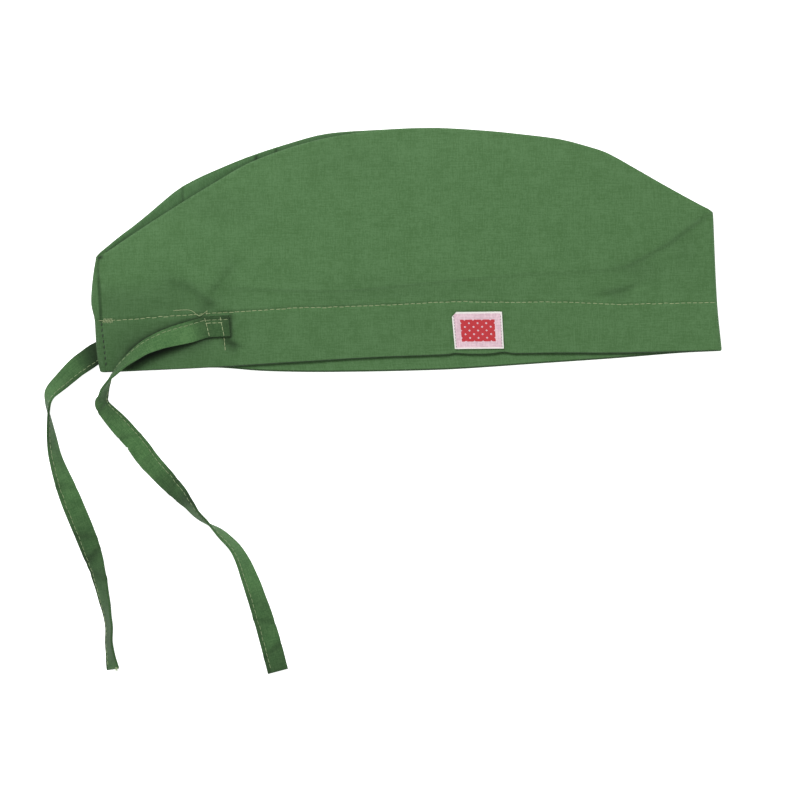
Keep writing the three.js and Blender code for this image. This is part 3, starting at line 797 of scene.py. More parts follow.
def tie_frames(route, points_on_hem):
    """The middle of a tie at each step, with the ways it runs, spreads and faces, the length so far and
    the painted shade of its cloth there."""
    beds = [tie_bed(row, i < points_on_hem) for i, row in enumerate(route)]
    line = [place for place, turn in beds]
    turn_at = smooth_line([(i, turn) for i, (place, turn) in enumerate(beds)])
    shade_at = smooth_line([(i, row[4]) for i, row in enumerate(route)])
    frames = []
    run = 0.0
    for step in range((len(route) - 1) * STEPS_PER_POINT + 1):
        at = step / STEPS_PER_POINT
        centre, way = spline_point(line, at)
        turn = turn_at(at)
        standing, lying = abs(math.sin(turn)) * TIE_WIDTH, abs(math.cos(turn)) * TIE_WALL
        centre.z = max(centre.z, LAYER_GAP / 2) + (standing + lying) / 2
        right = way.cross(SKYWARD).normalized()
        up = right.cross(way)
        width = right * math.cos(turn) - up * math.sin(turn)
        if frames:
            run += (centre - frames[-1][0]).length
        frames.append((centre, way, width, width.cross(way), run, shade_at(at)))
    return frames


def run_beside(frames, x, y):
    """The length along a tie at its nearest place to a point, in millimetres, seen from above."""
    return min(frames, key=lambda frame: (frame[0].x - x * MM) ** 2 + (frame[0].y - y * MM) ** 2)[4]


def lay_tie(route, creases, seed, points_on_hem=0, nick=None):
    """A tie along its route. One that starts on the hem is sewn there, with its end folded under."""
    frames = tie_frames(route, points_on_hem)
    placed = [
        (run_beside(frames, x, y), slant, depth * MM, width * MM, darker)
        for x, y, slant, depth, width, darker in creases
    ]
    if nick:
        nick = (run_beside(frames, *nick[:2]), nick[2] * MM, nick[3] * MM)
    return dict(
        frames=frames, creases=placed, seed=seed, sewn=points_on_hem > 0, end=frames[-1][4], nick=nick
    )


def from_crease(crease, run, share):
    """How far a place on a tie is from one of its creases, in crease widths."""
    at, slant, depth, width, darker = crease
    return (run - at + slant * share * TIE_WIDTH) / width


def tie_offset(tie, run, share):
    """How far a tie's cloth is off its plain form along its face."""
    flat = Vector((run, share * TIE_WIDTH, 0))
    total = sum(
        height * MM * noise.noise(flat / (span * MM) + Vector((0, 0, tie["seed"] + span)))
        for height, span in TIE_WAVES
    )
    for crease in tie["creases"]:
        total -= crease[2] * bell(from_crease(crease, run, share), 1)
    return total


def tie_shade(tie, run, share, painted_route_shade):
    """How much darker a tie's cloth is: painted shade of its route and creases, its edge strip and
    blotches.
    """
    total = painted_route_shade + EDGE_STRIP_SHADE * ease(share, *EDGE_STRIP_START)
    blotch = Vector((run / BLOTCH_LENGTH, share * BLOTCHES_ACROSS, tie["seed"] + 3))
    total += BLOTCH_SHADE * noise.noise(blotch)
    for crease in tie["creases"]:
        total += crease[4] * bell(from_crease(crease, run, share), CREASE_SHADE_SPREAD)
    return max(total, 0.0)


def tie_half(tie, run, side):
    """Half a tie's thickness. Its sewn end is folded under, and stands higher for it."""
    folded = 1 - ease(run, *SEWN_FOLD_END) if tie["sewn"] and side > 0 else 0
    return TIE_WALL / 2 * (1 + SEWN_FOLD_SWELL * folded)


def on_table(place, lowest):
    """The table holds up what the cloth's waves would push through it."""
    place.z = max(place.z, lowest)
    return place


def tie_surface(tie, run, share, side):
    """A point on a face of a tie at a length from its sewn end, with the face's way out."""
    frames = tie["frames"]
    low = 0
    while low < len(frames) - 2 and frames[low + 1][4] < run:
        low += 1
    t = (run - frames[low][4]) / (frames[low + 1][4] - frames[low][4])
    centre, way, width, face = (lerp(a, b, t) for a, b in zip(frames[low][:4], frames[low + 1][:4]))
    off = side * tie_half(tie, run, side) + tie_offset(tie, run, share)
    return on_table(centre + width * (share * TIE_WIDTH) + face * off, TIE_THREAD_LOWEST), face * side


def tie_piece(name, tie):
    """A tie's cloth, wrapped round its section at each step along it."""
    rows, places, shades = [], [], []
    loop = [(share, thick, 1) for share, thick in TIE_SECTION]
    loop += [(share, thick, -1) for share, thick in reversed(TIE_SECTION[1:-1])]
    for centre, way, width, face, run, painted_route_shade in tie["frames"]:
        row, place, shade = [], [], []
        from_end = max(0.0, 1 - min(run, tie["end"] - run) / END_ROUNDING)
        rounded = lerp(END_THICKNESS, 1, math.sqrt(max(0.0, 1 - from_end ** 2)))
        pull = 0.0
        if tie["nick"]:
            at, depth, reach = tie["nick"]
            pull = depth * max(0.0, 1 - abs(run - at) / reach)
        for share, thick, side in loop:
            across = share * TIE_WIDTH + pull * ease(-share, *NICK_SHARES)
            off = side * thick * rounded * tie_half(tie, run, side) + tie_offset(tie, run, share)
            row.append(on_table(centre + width * across + face * off, TIE_LOWEST))
            place.append((run + tie["seed"], share * TIE_WIDTH + (FACE_APART if side < 0 else 0)))
            shade.append(tie_shade(tie, run, share, painted_route_shade))
        rows.append(row)
        places.append(place + [place[0]])
        shades.append(shade)
    return cloth_piece(name, rows, False, places, shades, green_tie)


near_laid = lay_tie(NEAR_TIE_ROUTE, NEAR_TIE_CREASES, 0.31, POINTS_ON_HEM, NICK)
far_laid = lay_tie(FAR_TIE_ROUTE, FAR_TIE_CREASES, 0.83)
near_tie = belongs(tie_piece("near_tie", near_laid), "green_tie", "tie_near")
far_tie = belongs(tie_piece("far_tie", far_laid), "green_tie", "tie_far")


# ---------------------------------------------------------------- the side panel with its hem

def spaced(*runs):
    """Evenly spaced values over runs of (start, end, step), and the last end."""
    values = []
    for start, end, step in runs:
        count = max(1, round((end - start) / step))
        values += [start + (end - start) * i / count for i in range(count)]
    return values + [float(runs[-1][1])]


NEAR_COLUMNS = spaced(
    (0, 0.04, 0.0017), (0.04, 0.27, 0.0027), (0.27, 0.78, 0.0044), (0.78, 0.97, 0.0034),
    (0.97, 1, 0.0022),
)
FAR_COLUMNS = spaced((0, 1, 0.017))
FOLD_STEPS = 9
# Rows up a side, as stations, closer together at the stitching and along the crease over the fold
STATIONS = spaced(
    (0, 0.06, 0.012), (0.06, 0.9, 0.035), (0.9, 0.97, 0.023), (0.97, 1.03, 0.008),
    (1.03, 1.12, 0.02), (1.12, 1.8, 0.045), (1.8, 1.96, 0.027), (1.96, 2.03, 0.0058),
    (2.03, 2.12, 0.011), (2.12, 2.85, 0.027), (2.85, 3, 0.014),
)
HEM_RIM_STEPS = 7
SEAM_RIM_STEPS = 5
# The hem's double cloth ends between these stations
HEM_TOP = (1.033, 1.057)
# How far the cloth goes on round the crown seam's edge and the hem's, on the flat cloth
SEAM_RIM_REACH = 0.5 * MM
HEM_RIM_REACH = -1.2 * MM


def wall_at(station):
    """The thickness of the cloth, which is double at the turned hem."""
    return lerp(HEM_WALL, CLOTH, ease(station, *HEM_TOP))


def level_of(side, along, station):
    """The height on the table of a side's outside at a station, with room for the rims at both ends."""
    rows = levels(side, along)
    i = min(2, int(station))
    low = rows[i] + (HEM_WALL / 2 if i == 0 else 0)
    high = rows[i + 1] - (CLOTH / 2 if i == 2 else 0)
    return lerp(low, high, station - i)


def ends_at(side, station, passes):
    """Where a side's flat part begins and ends at a station, closer with each pass."""
    back, front = side_ends(level_of(side, 0.5, station))
    for each in range(passes):
        back = side_ends(level_of(side, along_at(back), station))[0]
        front = side_ends(level_of(side, along_at(front), station))[1]
    return back, front


def side_point(side, share, station):
    """The outside of a side, at a share of the way from its back fold to its front fold."""
    x = lerp(*ends_at(side, station, 2), share)
    along = along_at(x)
    y = level_of(side, along, station)
    if side == "near":
        return Vector((x, y, plain_height(along, station, share) + relief(x, y)))
    dip = STITCH_DITCH * bell((station - 1) * HEM_DEPTH, STITCH_DITCH_WIDTH)
    return Vector((x, y, tie_room(along, station) + dip + abs(waves(x, y, 5.0)) * FAR_WAVES))


def fold_points(end, station, near, far):
    """A half circle from the near side's end to the far side's."""
    points = []
    for step in range(1, FOLD_STEPS):
        turn = math.pi * step / FOLD_STEPS
        share = (1 - math.cos(turn)) / 2
        point = near.lerp(far, share)
        point.x += end * FOLD_RADIUS * math.sin(turn)
        along = along_at(point.x)
        point.y = lerp(level_of("near", along, station), level_of("far", along, station), share)
        points.append(point)
    return points


def ring(station):
    """The outside of the cap at a station, with each point's place on the flat cloth and its painted
    shade.
    """
    near = [side_point("near", share, station) for share in NEAR_COLUMNS]
    far = [side_point("far", share, station) for share in reversed(FAR_COLUMNS)]
    front = fold_points(1, station, near[-1], far[0])
    back = fold_points(-1, station, near[0], far[-1])[::-1]
    points = near + front + far + back
    run, places = near[0].x, []
    for i, point in enumerate(points):
        places.append((run, point.y))
        step = points[(i + 1) % len(points)] - point
        run += math.hypot(step.x, step.z * (0 if i < len(near) else 1))
    shades = [near_shade(point.x, point.y) for point in near] + [0.0] * (len(front) + len(far))
    shades += [near_shade(point.x, point.y) for point in back]
    return points, places + [(run, points[0].y)], shades


def pushed_in(rows, walls, wrapped):
    """Points at the walls' depth under rows of points."""
    inside = []
    for i, row in enumerate(rows):
        count = len(row)
        inner = []
        for j, point in enumerate(row):
            left = row[(j - 1) % count if wrapped else max(j - 1, 0)]
            right = row[(j + 1) % count if wrapped else min(j + 1, count - 1)]
            rise = rows[min(i + 1, len(rows) - 1)][j] - rows[max(i - 1, 0)][j]
            inner.append(point - (right - left).cross(rise).normalized() * walls[i])
        inside.append(inner)
    return inside


def rim(outer, inner, beyond, steps):
    """Rows of half circles from the outer row's edge round to the inner row's, away from beyond."""
    rows = []
    for step in range(1, steps):
        turn = math.pi * step / steps
        row = []
        for a, b, c in zip(outer, inner, beyond):
            across = a - b
            away = (a - c).normalized()
            away = (away - across.normalized() * away.dot(across.normalized())).normalized()
            round_it = across * math.cos(turn) / 2 + away * across.length * math.sin(turn) / 2
            row.append((a + b) / 2 + round_it)
        rows.append(row)
    return rows


def rim_places(row, steps, reach):
    """Places on the flat cloth for a rim's rows, past those of a row."""
    swings = [reach * math.sin(math.pi * step / steps) for step in range(1, steps)]
    return [[(u, v + swing) for u, v in row] for swing in swings]


def thinned(rows, kept_at_ends=5):
    """Every other row, with all of those at both ends."""
    last = len(rows) - 1
    return [row for i, row in enumerate(rows) if i % 2 == 0 or min(i, last - i) < kept_at_ends]


def side_panel_piece():
    """The side panel as one closed wall: up its outside, over the seam's edge, down its inside and
    round the hem's lower edge."""
    outside, places, shades = (list(part) for part in zip(*(ring(station) for station in STATIONS)))
    inside = pushed_in(outside, [wall_at(station) for station in STATIONS], True)
    top = rim(outside[-1], inside[-1], outside[-2], SEAM_RIM_STEPS)
    bottom = rim(inside[0], outside[0], inside[1], HEM_RIM_STEPS)
    inside, inner_places = thinned(inside), thinned(places)
    near_count, count = len(NEAR_COLUMNS), len(shades[0])
    rim_shades = [[near] * near_count + [far] * (count - near_count) for near, far in HEM_RIM_SHADES]
    all_places = places + rim_places(places[-1], SEAM_RIM_STEPS, SEAM_RIM_REACH)
    all_places += inner_places[::-1] + rim_places(places[0], HEM_RIM_STEPS, HEM_RIM_REACH)
    all_shades = shades + [shades[-1]] * len(top) + [[0.0] * count] * len(inside) + rim_shades
    rows = outside + top + inside[::-1] + bottom
    return cloth_piece("cap_side", rows, True, all_places, all_shades, green_cloth)


cap_side = belongs(side_panel_piece(), "green_cloth", "side_panel")


# ---------------------------------------------------------------- the crown, tucked down inside

CROWN_END_GAP = 2.5 * MM
CROWN_COLUMNS = spaced((0, 0.4, 0.0028), (0.4, 1, 0.012))
WING_STEPS = 34
TUCK_STEPS = 6
TUCK_RADIUS = CLOTH + TUCK_GAP / 2
# How far the crown's outside lies over the far side and under the near side's edge
CROWN_BED = CLOTH + LAYER_GAP + 0.05 * MM
CROWN_DROP = 1.35 * CLOTH + LAYER_GAP
CROWN_FAR_INSET = 0.2 * MM
# The crown shows past the near side's edge, and is uneven only about there
CROWN_FREE = (-8 * MM, 1 * MM)
CROWN_SUNK = 0.02 * MM
CROWN_WAVES = 0.6
# The seam's ridge and groove: height, distance from the crown's edge, and width, in millimetres
EDGE_WAVES = [(0.45, 1.6, 1.0), (-0.3, 3.4, 0.6)]
# Short puckers across the crown's seam: where along, in millimetres, how deep, and how much painted
# shade each adds; one below 0 takes painted shade away, which paints a highlight
CROWN_PUCKERS = [
    (-107.2, 1.1, 0.15), (-105.7, 0, -0.08), (-72.0, 0.8, 0.35), (-62.5, 0.6, 0.25),
    (-127.0, 0.4, 0.04), (-91.0, 0.3, 0.04),
]
CROWN_PUCKER_WIDTH = 0.85 * MM
PUCKER_REACH = (9, 2)
# Painted shade over the whole crown, which a pucker can take away, and the painted shadow of the near
# side's edge on the crown, with how far it reaches
CROWN_SHADE = 0.03
CROWN_EDGE_SHADE, CROWN_EDGE_SHADE_REACH = 0.16, 1.1 * MM


def crown_pucker(x, part):
    """How much the puckers add at a place along: of their depth with part 1, of their painted shade
    with 2.
    """
    return sum(row[part] * bell(x - row[0] * MM, CROWN_PUCKER_WIDTH) for row in CROWN_PUCKERS)


def crown_relief(x, y, along):
    """Soft waves, the seam's ridge along the edge and short puckers near the back."""
    from_edge = (y_at(crown_seam["far"](along)) - y) / MM
    total = sum(height * bell(from_edge - at, width) for height, at, width in EDGE_WAVES)
    total -= crown_pucker(x, 1) * ease(from_edge, *PUCKER_REACH)
    return total * MM + waves(x, y, 9.0) * CROWN_WAVES


def crown_column(place):
    """The crown's outside at a share of the way along: from its near edge down to the tuck, round it
    and up to its far edge."""
    near, far = side_point("near", place, LAST_STATION), side_point("far", place, LAST_STATION)
    along = along_at(near.x)
    bed = far.z + CROWN_BED
    fold_y = y_at(tuck_fold["far"](along)) + TUCK_RADIUS
    near_start = Vector((near.x, near.y, near.z - CROWN_DROP))
    near_wing = Vector((near.x, fold_y, bed + 2 * TUCK_RADIUS))
    far_wing = Vector((near.x, fold_y, bed))
    far_end = Vector((far.x, far.y - CROWN_FAR_INSET, bed))
    column = [near_start.lerp(near_wing, step / WING_STEPS) for step in range(WING_STEPS)]
    for step in range(TUCK_STEPS + 1):
        turn = math.pi * step / TUCK_STEPS
        y, z = fold_y - TUCK_RADIUS * math.sin(turn), bed + TUCK_RADIUS * (1 + math.cos(turn))
        column.append(Vector((near.x, y, z)))
    for step in range(1, WING_STEPS + 1):
        point = far_wing.lerp(far_end, step / WING_STEPS)
        free = ease(point.y - near.y, *CROWN_FREE)
        point.z += free * max(crown_relief(point.x, point.y, along), -CROWN_SUNK)
        column.append(point)
    return column


def crown_piece():
    """The crown as one closed wall, which ends a little inside both round folds."""
    back, front = ends_at("near", LAST_STATION, 1)
    end_share = CROWN_END_GAP / (front - back)
    columns = [crown_column(lerp(end_share, 1 - end_share, share)) for share in CROWN_COLUMNS]
    inside = pushed_in(columns, [CLOTH] * len(columns), False)
    rows, places, shades = [], [], []
    for outer, inner in zip(columns, inside):
        run, row, shade = 0.0, [], []
        seam_y = y_at(crown_seam["near"](along_at(outer[0].x)))
        for i, point in enumerate(outer):
            run += (point - outer[i - 1]).length if i else 0
            row.append((outer[0].x, run))
            # Painted shade of the crown and its puckers, and painted shadow under the near side's edge
            by_seam = math.exp(-max(point.y - seam_y, 0) / CROWN_EDGE_SHADE_REACH)
            darker = CROWN_SHADE + crown_pucker(point.x, 2) + CROWN_EDGE_SHADE * by_seam
            shade.append(max(darker, 0))
        rows.append(outer + inner[::-1])
        places.append(row + row[::-1] + [row[0]])
        shades.append(shade + shade[::-1])
    return cloth_piece("cap_crown", rows, False, places, shades, lit_crown_cloth)


cap_crown = belongs(crown_piece(), "green_cloth", "crown")


# ---------------------------------------------------------------- stitches

STITCH_SIDES = 6
# Sections along a stitch: a share of its length from its middle, and of its thickness
STITCH_SECTIONS = [(-0.5, 0.45), (-0.4, 0.8), (-0.15, 1.0), (0.15, 1.0), (0.4, 0.8), (0.5, 0.45)]
STITCH_SINK = 12.8  # in radii, times a place's share cubed: an end is 1.6 radii below the middle
# The radius of each piece's threads
HEM_THREAD, TIE_THREAD, SEWN_THREAD, SEAM_THREAD, LABEL_THREAD = (
    radius * MM for radius in (0.15, 0.14, 0.16, 0.26, 0.16)
)
# The radius that a stitch rises and sinks by, where it isn't its thread's
ROW_STITCH, SEWN_STITCH = 0.17 * MM, 0.2 * MM
# A way that no thread runs
ASIDE = Vector((0.13, 0.21, 0.97))


def thread_piece(name, lines, radius, material):
    """Short threads as one piece. Each line is a row of points and the thickness at each of them."""
    vertices, faces = [], []
    for line, thickness in lines:
        start = len(vertices)
        for i, point in enumerate(line):
            way = (line[min(i + 1, len(line) - 1)] - line[max(i - 1, 0)]).normalized()
            side = way.cross(ASIDE).normalized()
            up = side.cross(way)
            for k in range(STITCH_SIDES):
                turn = 2 * math.pi * k / STITCH_SIDES
                around = side * math.cos(turn) + up * math.sin(turn)
                vertices.append(point + around * radius * thickness[i])
        for i in range(len(line) - 1):
            a = start + i * STITCH_SIDES
            for k in range(STITCH_SIDES):
                m = (k + 1) % STITCH_SIDES
                faces.append((a + k, a + m, a + STITCH_SIDES + m, a + STITCH_SIDES + k))
        last = start + (len(line) - 1) * STITCH_SIDES
        faces.append([start + k for k in reversed(range(STITCH_SIDES))])
        faces.append([last + k for k in range(STITCH_SIDES)])
    return closed_piece(name, smooth_mesh(name, vertices, faces, material))


def stitch(start, end, out, radius, rise=0.5):
    """One stitch between two points of a surface: sunk at its ends and standing up along its middle."""
    line = [
        start.lerp(end, share + 0.5) + out * (radius * (rise - STITCH_SINK * abs(share) ** 3))
        for share, size in STITCH_SECTIONS
    ]
    return line, [size for share, size in STITCH_SECTIONS]


def jitter(seed, size):
    """A small uneven amount that is the same each run."""
    return noise.noise(Vector((seed * 7.31, seed * 3.17, 0.5))) * size


HEM_STITCH_PITCH = 2.8 * MM
HEM_STITCH_LENGTH = 2.6 * MM
HEM_STITCH_RISE = 0.35
HEM_STITCHES_ALONG = (0.012, 0.985)


def hem_stitches(side):
    """The stitches along a hem's stitching."""
    lines = []
    first, last = (x_at(along) for along in HEM_STITCHES_ALONG)
    out = SKYWARD if side == "near" else -SKYWARD
    x, number = first, 0
    while x < last:
        ends = []
        for at in (x, x + HEM_STITCH_LENGTH):
            along = along_at(at)
            if side == "near":
                y = y_at(stitch_line(along)) + jitter(number + 0.5, 0.3 * MM)
                ends.append(Vector((at, y, near_top(at, y))))
            else:
                ends.append(Vector((at, level_of("far", along, 1), tie_room(along, 1) + STITCH_DITCH)))
        lines.append(stitch(*ends, out, ROW_STITCH, HEM_STITCH_RISE))
        x += HEM_STITCH_PITCH * (1 + jitter(number, 0.12))
        number += 1
    return lines


near_hem_thread = thread_piece("near_hem_thread", hem_stitches("near"), HEM_THREAD, pale_thread)
far_hem_thread = thread_piece("far_hem_thread", hem_stitches("far"), HEM_THREAD, pale_thread)

TIE_STITCH_PITCH = 2.7 * MM
TIE_STITCH_LENGTH = 2.3 * MM
TIE_STITCH_RISE = 0.9
# Shares of a tie's width from its middle: its edge's stitches, and a second row at its sewn end
EDGE_SHARE = 0.5 - 1.8 * MM / TIE_WIDTH
SECOND_SHARE = 0.5 - 3.2 * MM / TIE_WIDTH


def tie_stitches(tie, share, sides, start, end, sink):
    """A row of stitches along a tie, from a length to another, sunk into its cloth."""
    lines = []
    run, number = start, 0
    while run + TIE_STITCH_LENGTH < end:
        at = share + jitter(number + tie["seed"] * 50, 0.03)
        for side in sides:
            first, out = tie_surface(tie, run, at, side)
            last = tie_surface(tie, run + TIE_STITCH_LENGTH, at, side)[0]
            ends = (first - out * sink, last - out * sink)
            lines.append(stitch(*ends, out, TIE_THREAD, TIE_STITCH_RISE))
        run += TIE_STITCH_PITCH * (1 + jitter(number, 0.1))
        number += 1
    return lines


def edge_stitches(tie):
    """The stitches along a tie's edge, which show on both faces."""
    return tie_stitches(tie, EDGE_SHARE, (1, -1), 0.6 * MM, tie["end"] - 0.5 * MM, 0.22 * MM)


def across_tie(tie, from_run, from_share, to_run, to_share, count=4, filled=0.86):
    """A row of stitches across a tie's upper face, from one length, in millimetres, to another."""
    lines = []
    for i in range(count):
        ends = []
        for at in (i + 0.5 - filled / 2, i + 0.5 + filled / 2):
            run, share = lerp(from_run, to_run, at / count), lerp(from_share, to_share, at / count)
            place, out = tie_surface(tie, run * MM, share, 1)
            ends.append(place + out * 0.03 * MM)
        lines.append(stitch(*ends, out, ROW_STITCH, TIE_STITCH_RISE))
    return lines


# Threads have come loose at a corner of the far tie's end
LOOSE_ENDS = 7
far_tie_lines = edge_stitches(far_laid)
for i in range(LOOSE_ENDS):
    share = lerp(-0.48, -0.3, i / (LOOSE_ENDS - 1))
    root, out = tie_surface(far_laid, far_laid["end"] - 0.8 * MM, share, 1)
    way, side = far_laid["frames"][-1][1:3]
    line = [root + out * 0.1 * MM]
    for step in range(1, 4):
        line.append(line[-1] + (way + side * jitter(i * 3 + step, 1.2)) * 0.6 * MM - out * 0.08 * MM)
    far_tie_lines.append((line, [0.7, 0.7, 0.6, 0.4]))
near_tie_thread = thread_piece("near_tie_thread", edge_stitches(near_laid), TIE_THREAD, dull_thread)
far_tie_thread = thread_piece("far_tie_thread", far_tie_lines, TIE_THREAD, dull_thread)


def over_cap(x, y, lift):
    """A point over the near side's outside."""
    return Vector((x, y, near_top(x, y) + lift))


def upright_stitch(x, y, lean, half, lift, radius):
    """A stitch over the near side that runs from low to high in the picture and leans sideways."""
    low, high = over_cap(x - lean, y - half, lift), over_cap(x + lean, y + half, lift)
    return stitch(low, high, SKYWARD, radius)


def row_on_cap(start, end, pitch, length, lift):
    """Stitches over the near side from one point to another, in millimetres."""
    a, b = Vector(start) * MM, Vector(end) * MM
    count = max(1, int((b - a).length / (pitch * MM)))
    half = (b - a).normalized() * length * MM / 2
    lines = []
    for i in range(count):
        middle = a.lerp(b, (i + 0.5) / count)
        ends = [over_cap(*(middle + side * half), lift * MM) for side in (-1, 1)]
        lines.append(stitch(*ends, near_normal(*middle), SEWN_STITCH))
    return lines


# The rows that hold the tie's sewn end cross it and run on over the hem
sewn_lines = tie_stitches(near_laid, SECOND_SHARE, (1,), 3.4 * MM, 11.4 * MM, 0.02 * MM)
sewn_lines += across_tie(near_laid, 4.3, 0.47, 3.0, -0.46)
sewn_lines += across_tie(near_laid, 11.3, 0.46, 10.4, -0.44)
sewn_lines += row_on_cap((-95.4, -29.0), (-95.5, -31.2), 1.1, 1.0, 0.1)
sewn_lines += row_on_cap((-87.3, -41.9), (-86.7, -48.3), 2.1, 1.9, 0.12)
# A knot of thread where the hem's stitching starts
KNOT_START = (-145.1, -34.0)
KNOT_STITCHES, KNOT_STEP = 13, 0.36
for i in range(KNOT_STITCHES):
    x = (KNOT_START[0] + i * KNOT_STEP) * MM
    y = (KNOT_START[1] + (0.45 if i % 2 else -0.4) + jitter(i, 0.4)) * MM
    sewn_lines.append(upright_stitch(x, y, 0.2 * MM, 0.7 * MM, 0.2 * MM, SEWN_STITCH))
# A loose end of thread beside the sewn tie lies over the hem, and over the tie beyond its edge
LOOSE_THREAD = [
    (-111.5, -29.2), (-108.5, -28.9), (-105.1, -28.8), (-102.7, -29.2), (-101.1, -30.4),
    (-99.4, -31.7), (-97.7, -31.1), (-95.6, -29.5),
]
TIE_EDGE_X, TIE_EDGE_Y = -101.5 * MM, -30.9 * MM
loose_line = []
loose_points = [Vector((x * MM, y * MM, 0)) for x, y in LOOSE_THREAD]
for step in range(4 * (len(loose_points) - 1) + 1):
    place = spline_point(loose_points, step / 4)[0]
    over_tie = place.x > TIE_EDGE_X and place.y < TIE_EDGE_Y
    loose_line.append(over_cap(place.x, place.y, (1.75 if over_tie else 0.25) * MM))
for each in range(2):
    middle = [(a + 2 * b + c) / 4 for a, b, c in zip(loose_line, loose_line[1:], loose_line[2:])]
    loose_line = [loose_line[0]] + middle + [loose_line[-1]]
sewn_lines.append((loose_line, [0.75] * len(loose_line)))
sewn_thread = thread_piece("sewn_thread", sewn_lines, SEWN_THREAD, pale_thread)

# Stitches that close the back seam over the hem, in near-black thread that paints the shade of its
# ditch
SEAM_STITCHES, SEAM_STITCHES_UP = 8, (0.035, 0.195)
seam_lines = []
for i in range(SEAM_STITCHES):
    up = lerp(*SEAM_STITCHES_UP, i / (SEAM_STITCHES - 1))
    x = x_at(back_seam(up)) + 0.1 * MM
    seam_lines.append(upright_stitch(x, y_at(up), 0.1 * MM, 0.85 * MM, 0.1 * MM, SEAM_THREAD))
seam_thread = thread_piece("seam_thread", seam_lines, SEAM_THREAD, seam_shade_thread)


# ---------------------------------------------------------------- the label

LABEL_WIDTH = 23.8 * MM
LABEL_HEIGHT = 17.5 * MM
LABEL_CLOTH = 0.6 * MM
LABEL_TILT = math.radians(0.6)
LABEL_LEAN = 1.1 * MM
LABEL_TAPER = 0.03
LABEL_CUT = 2.3 * MM
LABEL_GRID = (48, 36)
# Its turned-in edges: how wide at the sides and at the top and bottom, and how far they stand up
LABEL_TURNED = (1.5 * MM, 1.1 * MM)
LABEL_EDGE_RISE = 0.25 * MM
LABEL_WAVE, LABEL_WAVE_SPAN = 0.12 * MM, 5 * MM
# Half the white border's inside and half the lozenges' block, across and down, and each lozenge's size
LABEL_BORDER = (LABEL_WIDTH / 2 - 0.75 * MM, LABEL_HEIGHT / 2 - 0.65 * MM)
LOZENGE_BLOCK = (8.2 * MM, 5.25 * MM)
LOZENGE = (4.1 * MM, 3.5 * MM)
LOZENGE_FILL = 0.36
label_low, label_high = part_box("label")
label_middle = (label_low + label_high) / 2


def label_material():
    """A pale label with a white turned border and a plain block of woven red lozenges."""
    material, shader = new_material("label_weave", roughness=0.62, sheen=0.08)
    tree = material.node_tree
    weave, place = woven(tree)
    split = add_node(tree, "SeparateXYZ")
    link(tree, place, split, "Vector")
    ways = [maths(tree, "ABSOLUTE", (split, axis)) for axis in "XY"]
    field = ramp(tree, (weave, "Tone"), 0.2, srgb(196, 166, 177), 0.8, srgb(216, 188, 197))

    slants = [
        maths(tree, "PINGPONG", maths(tree, "MULTIPLY", (split, axis), 1 / size), 0.5)
        for axis, size in zip("XY", LOZENGE)
    ]
    lozenges = maths(tree, "COMPARE", maths(tree, "ADD", *slants), 0.5)
    lozenges[0].inputs[2].default_value = LOZENGE_FILL
    inside = [maths(tree, "LESS_THAN", way, half) for way, half in zip(ways, LOZENGE_BLOCK)]
    lozenges = maths(tree, "MULTIPLY", lozenges, maths(tree, "MULTIPLY", *inside))
    figured = laid_over(tree, lozenges, srgb(176, 32, 42), field)

    outside = [maths(tree, "GREATER_THAN", way, half) for way, half in zip(ways, LABEL_BORDER)]
    edged = laid_over(tree, maths(tree, "MAXIMUM", *outside), srgb(222, 218, 214), figured)
    link(tree, edged, shader, "Base Color")
    bump(tree, (weave, "Height"), 0.05 * MM, shader)
    return material


def label_place(u, v):
    """The place over the table of a point of the label, from its middle, in metres. It leans a little,
    and is narrower along its lower edge."""
    drop = v / LABEL_HEIGHT
    u = u * (1 + LABEL_TAPER * drop) - LABEL_LEAN * drop
    x = label_middle.x + u * math.cos(LABEL_TILT) - v * math.sin(LABEL_TILT)
    y = label_middle.y + u * math.sin(LABEL_TILT) + v * math.cos(LABEL_TILT)
    return x, y


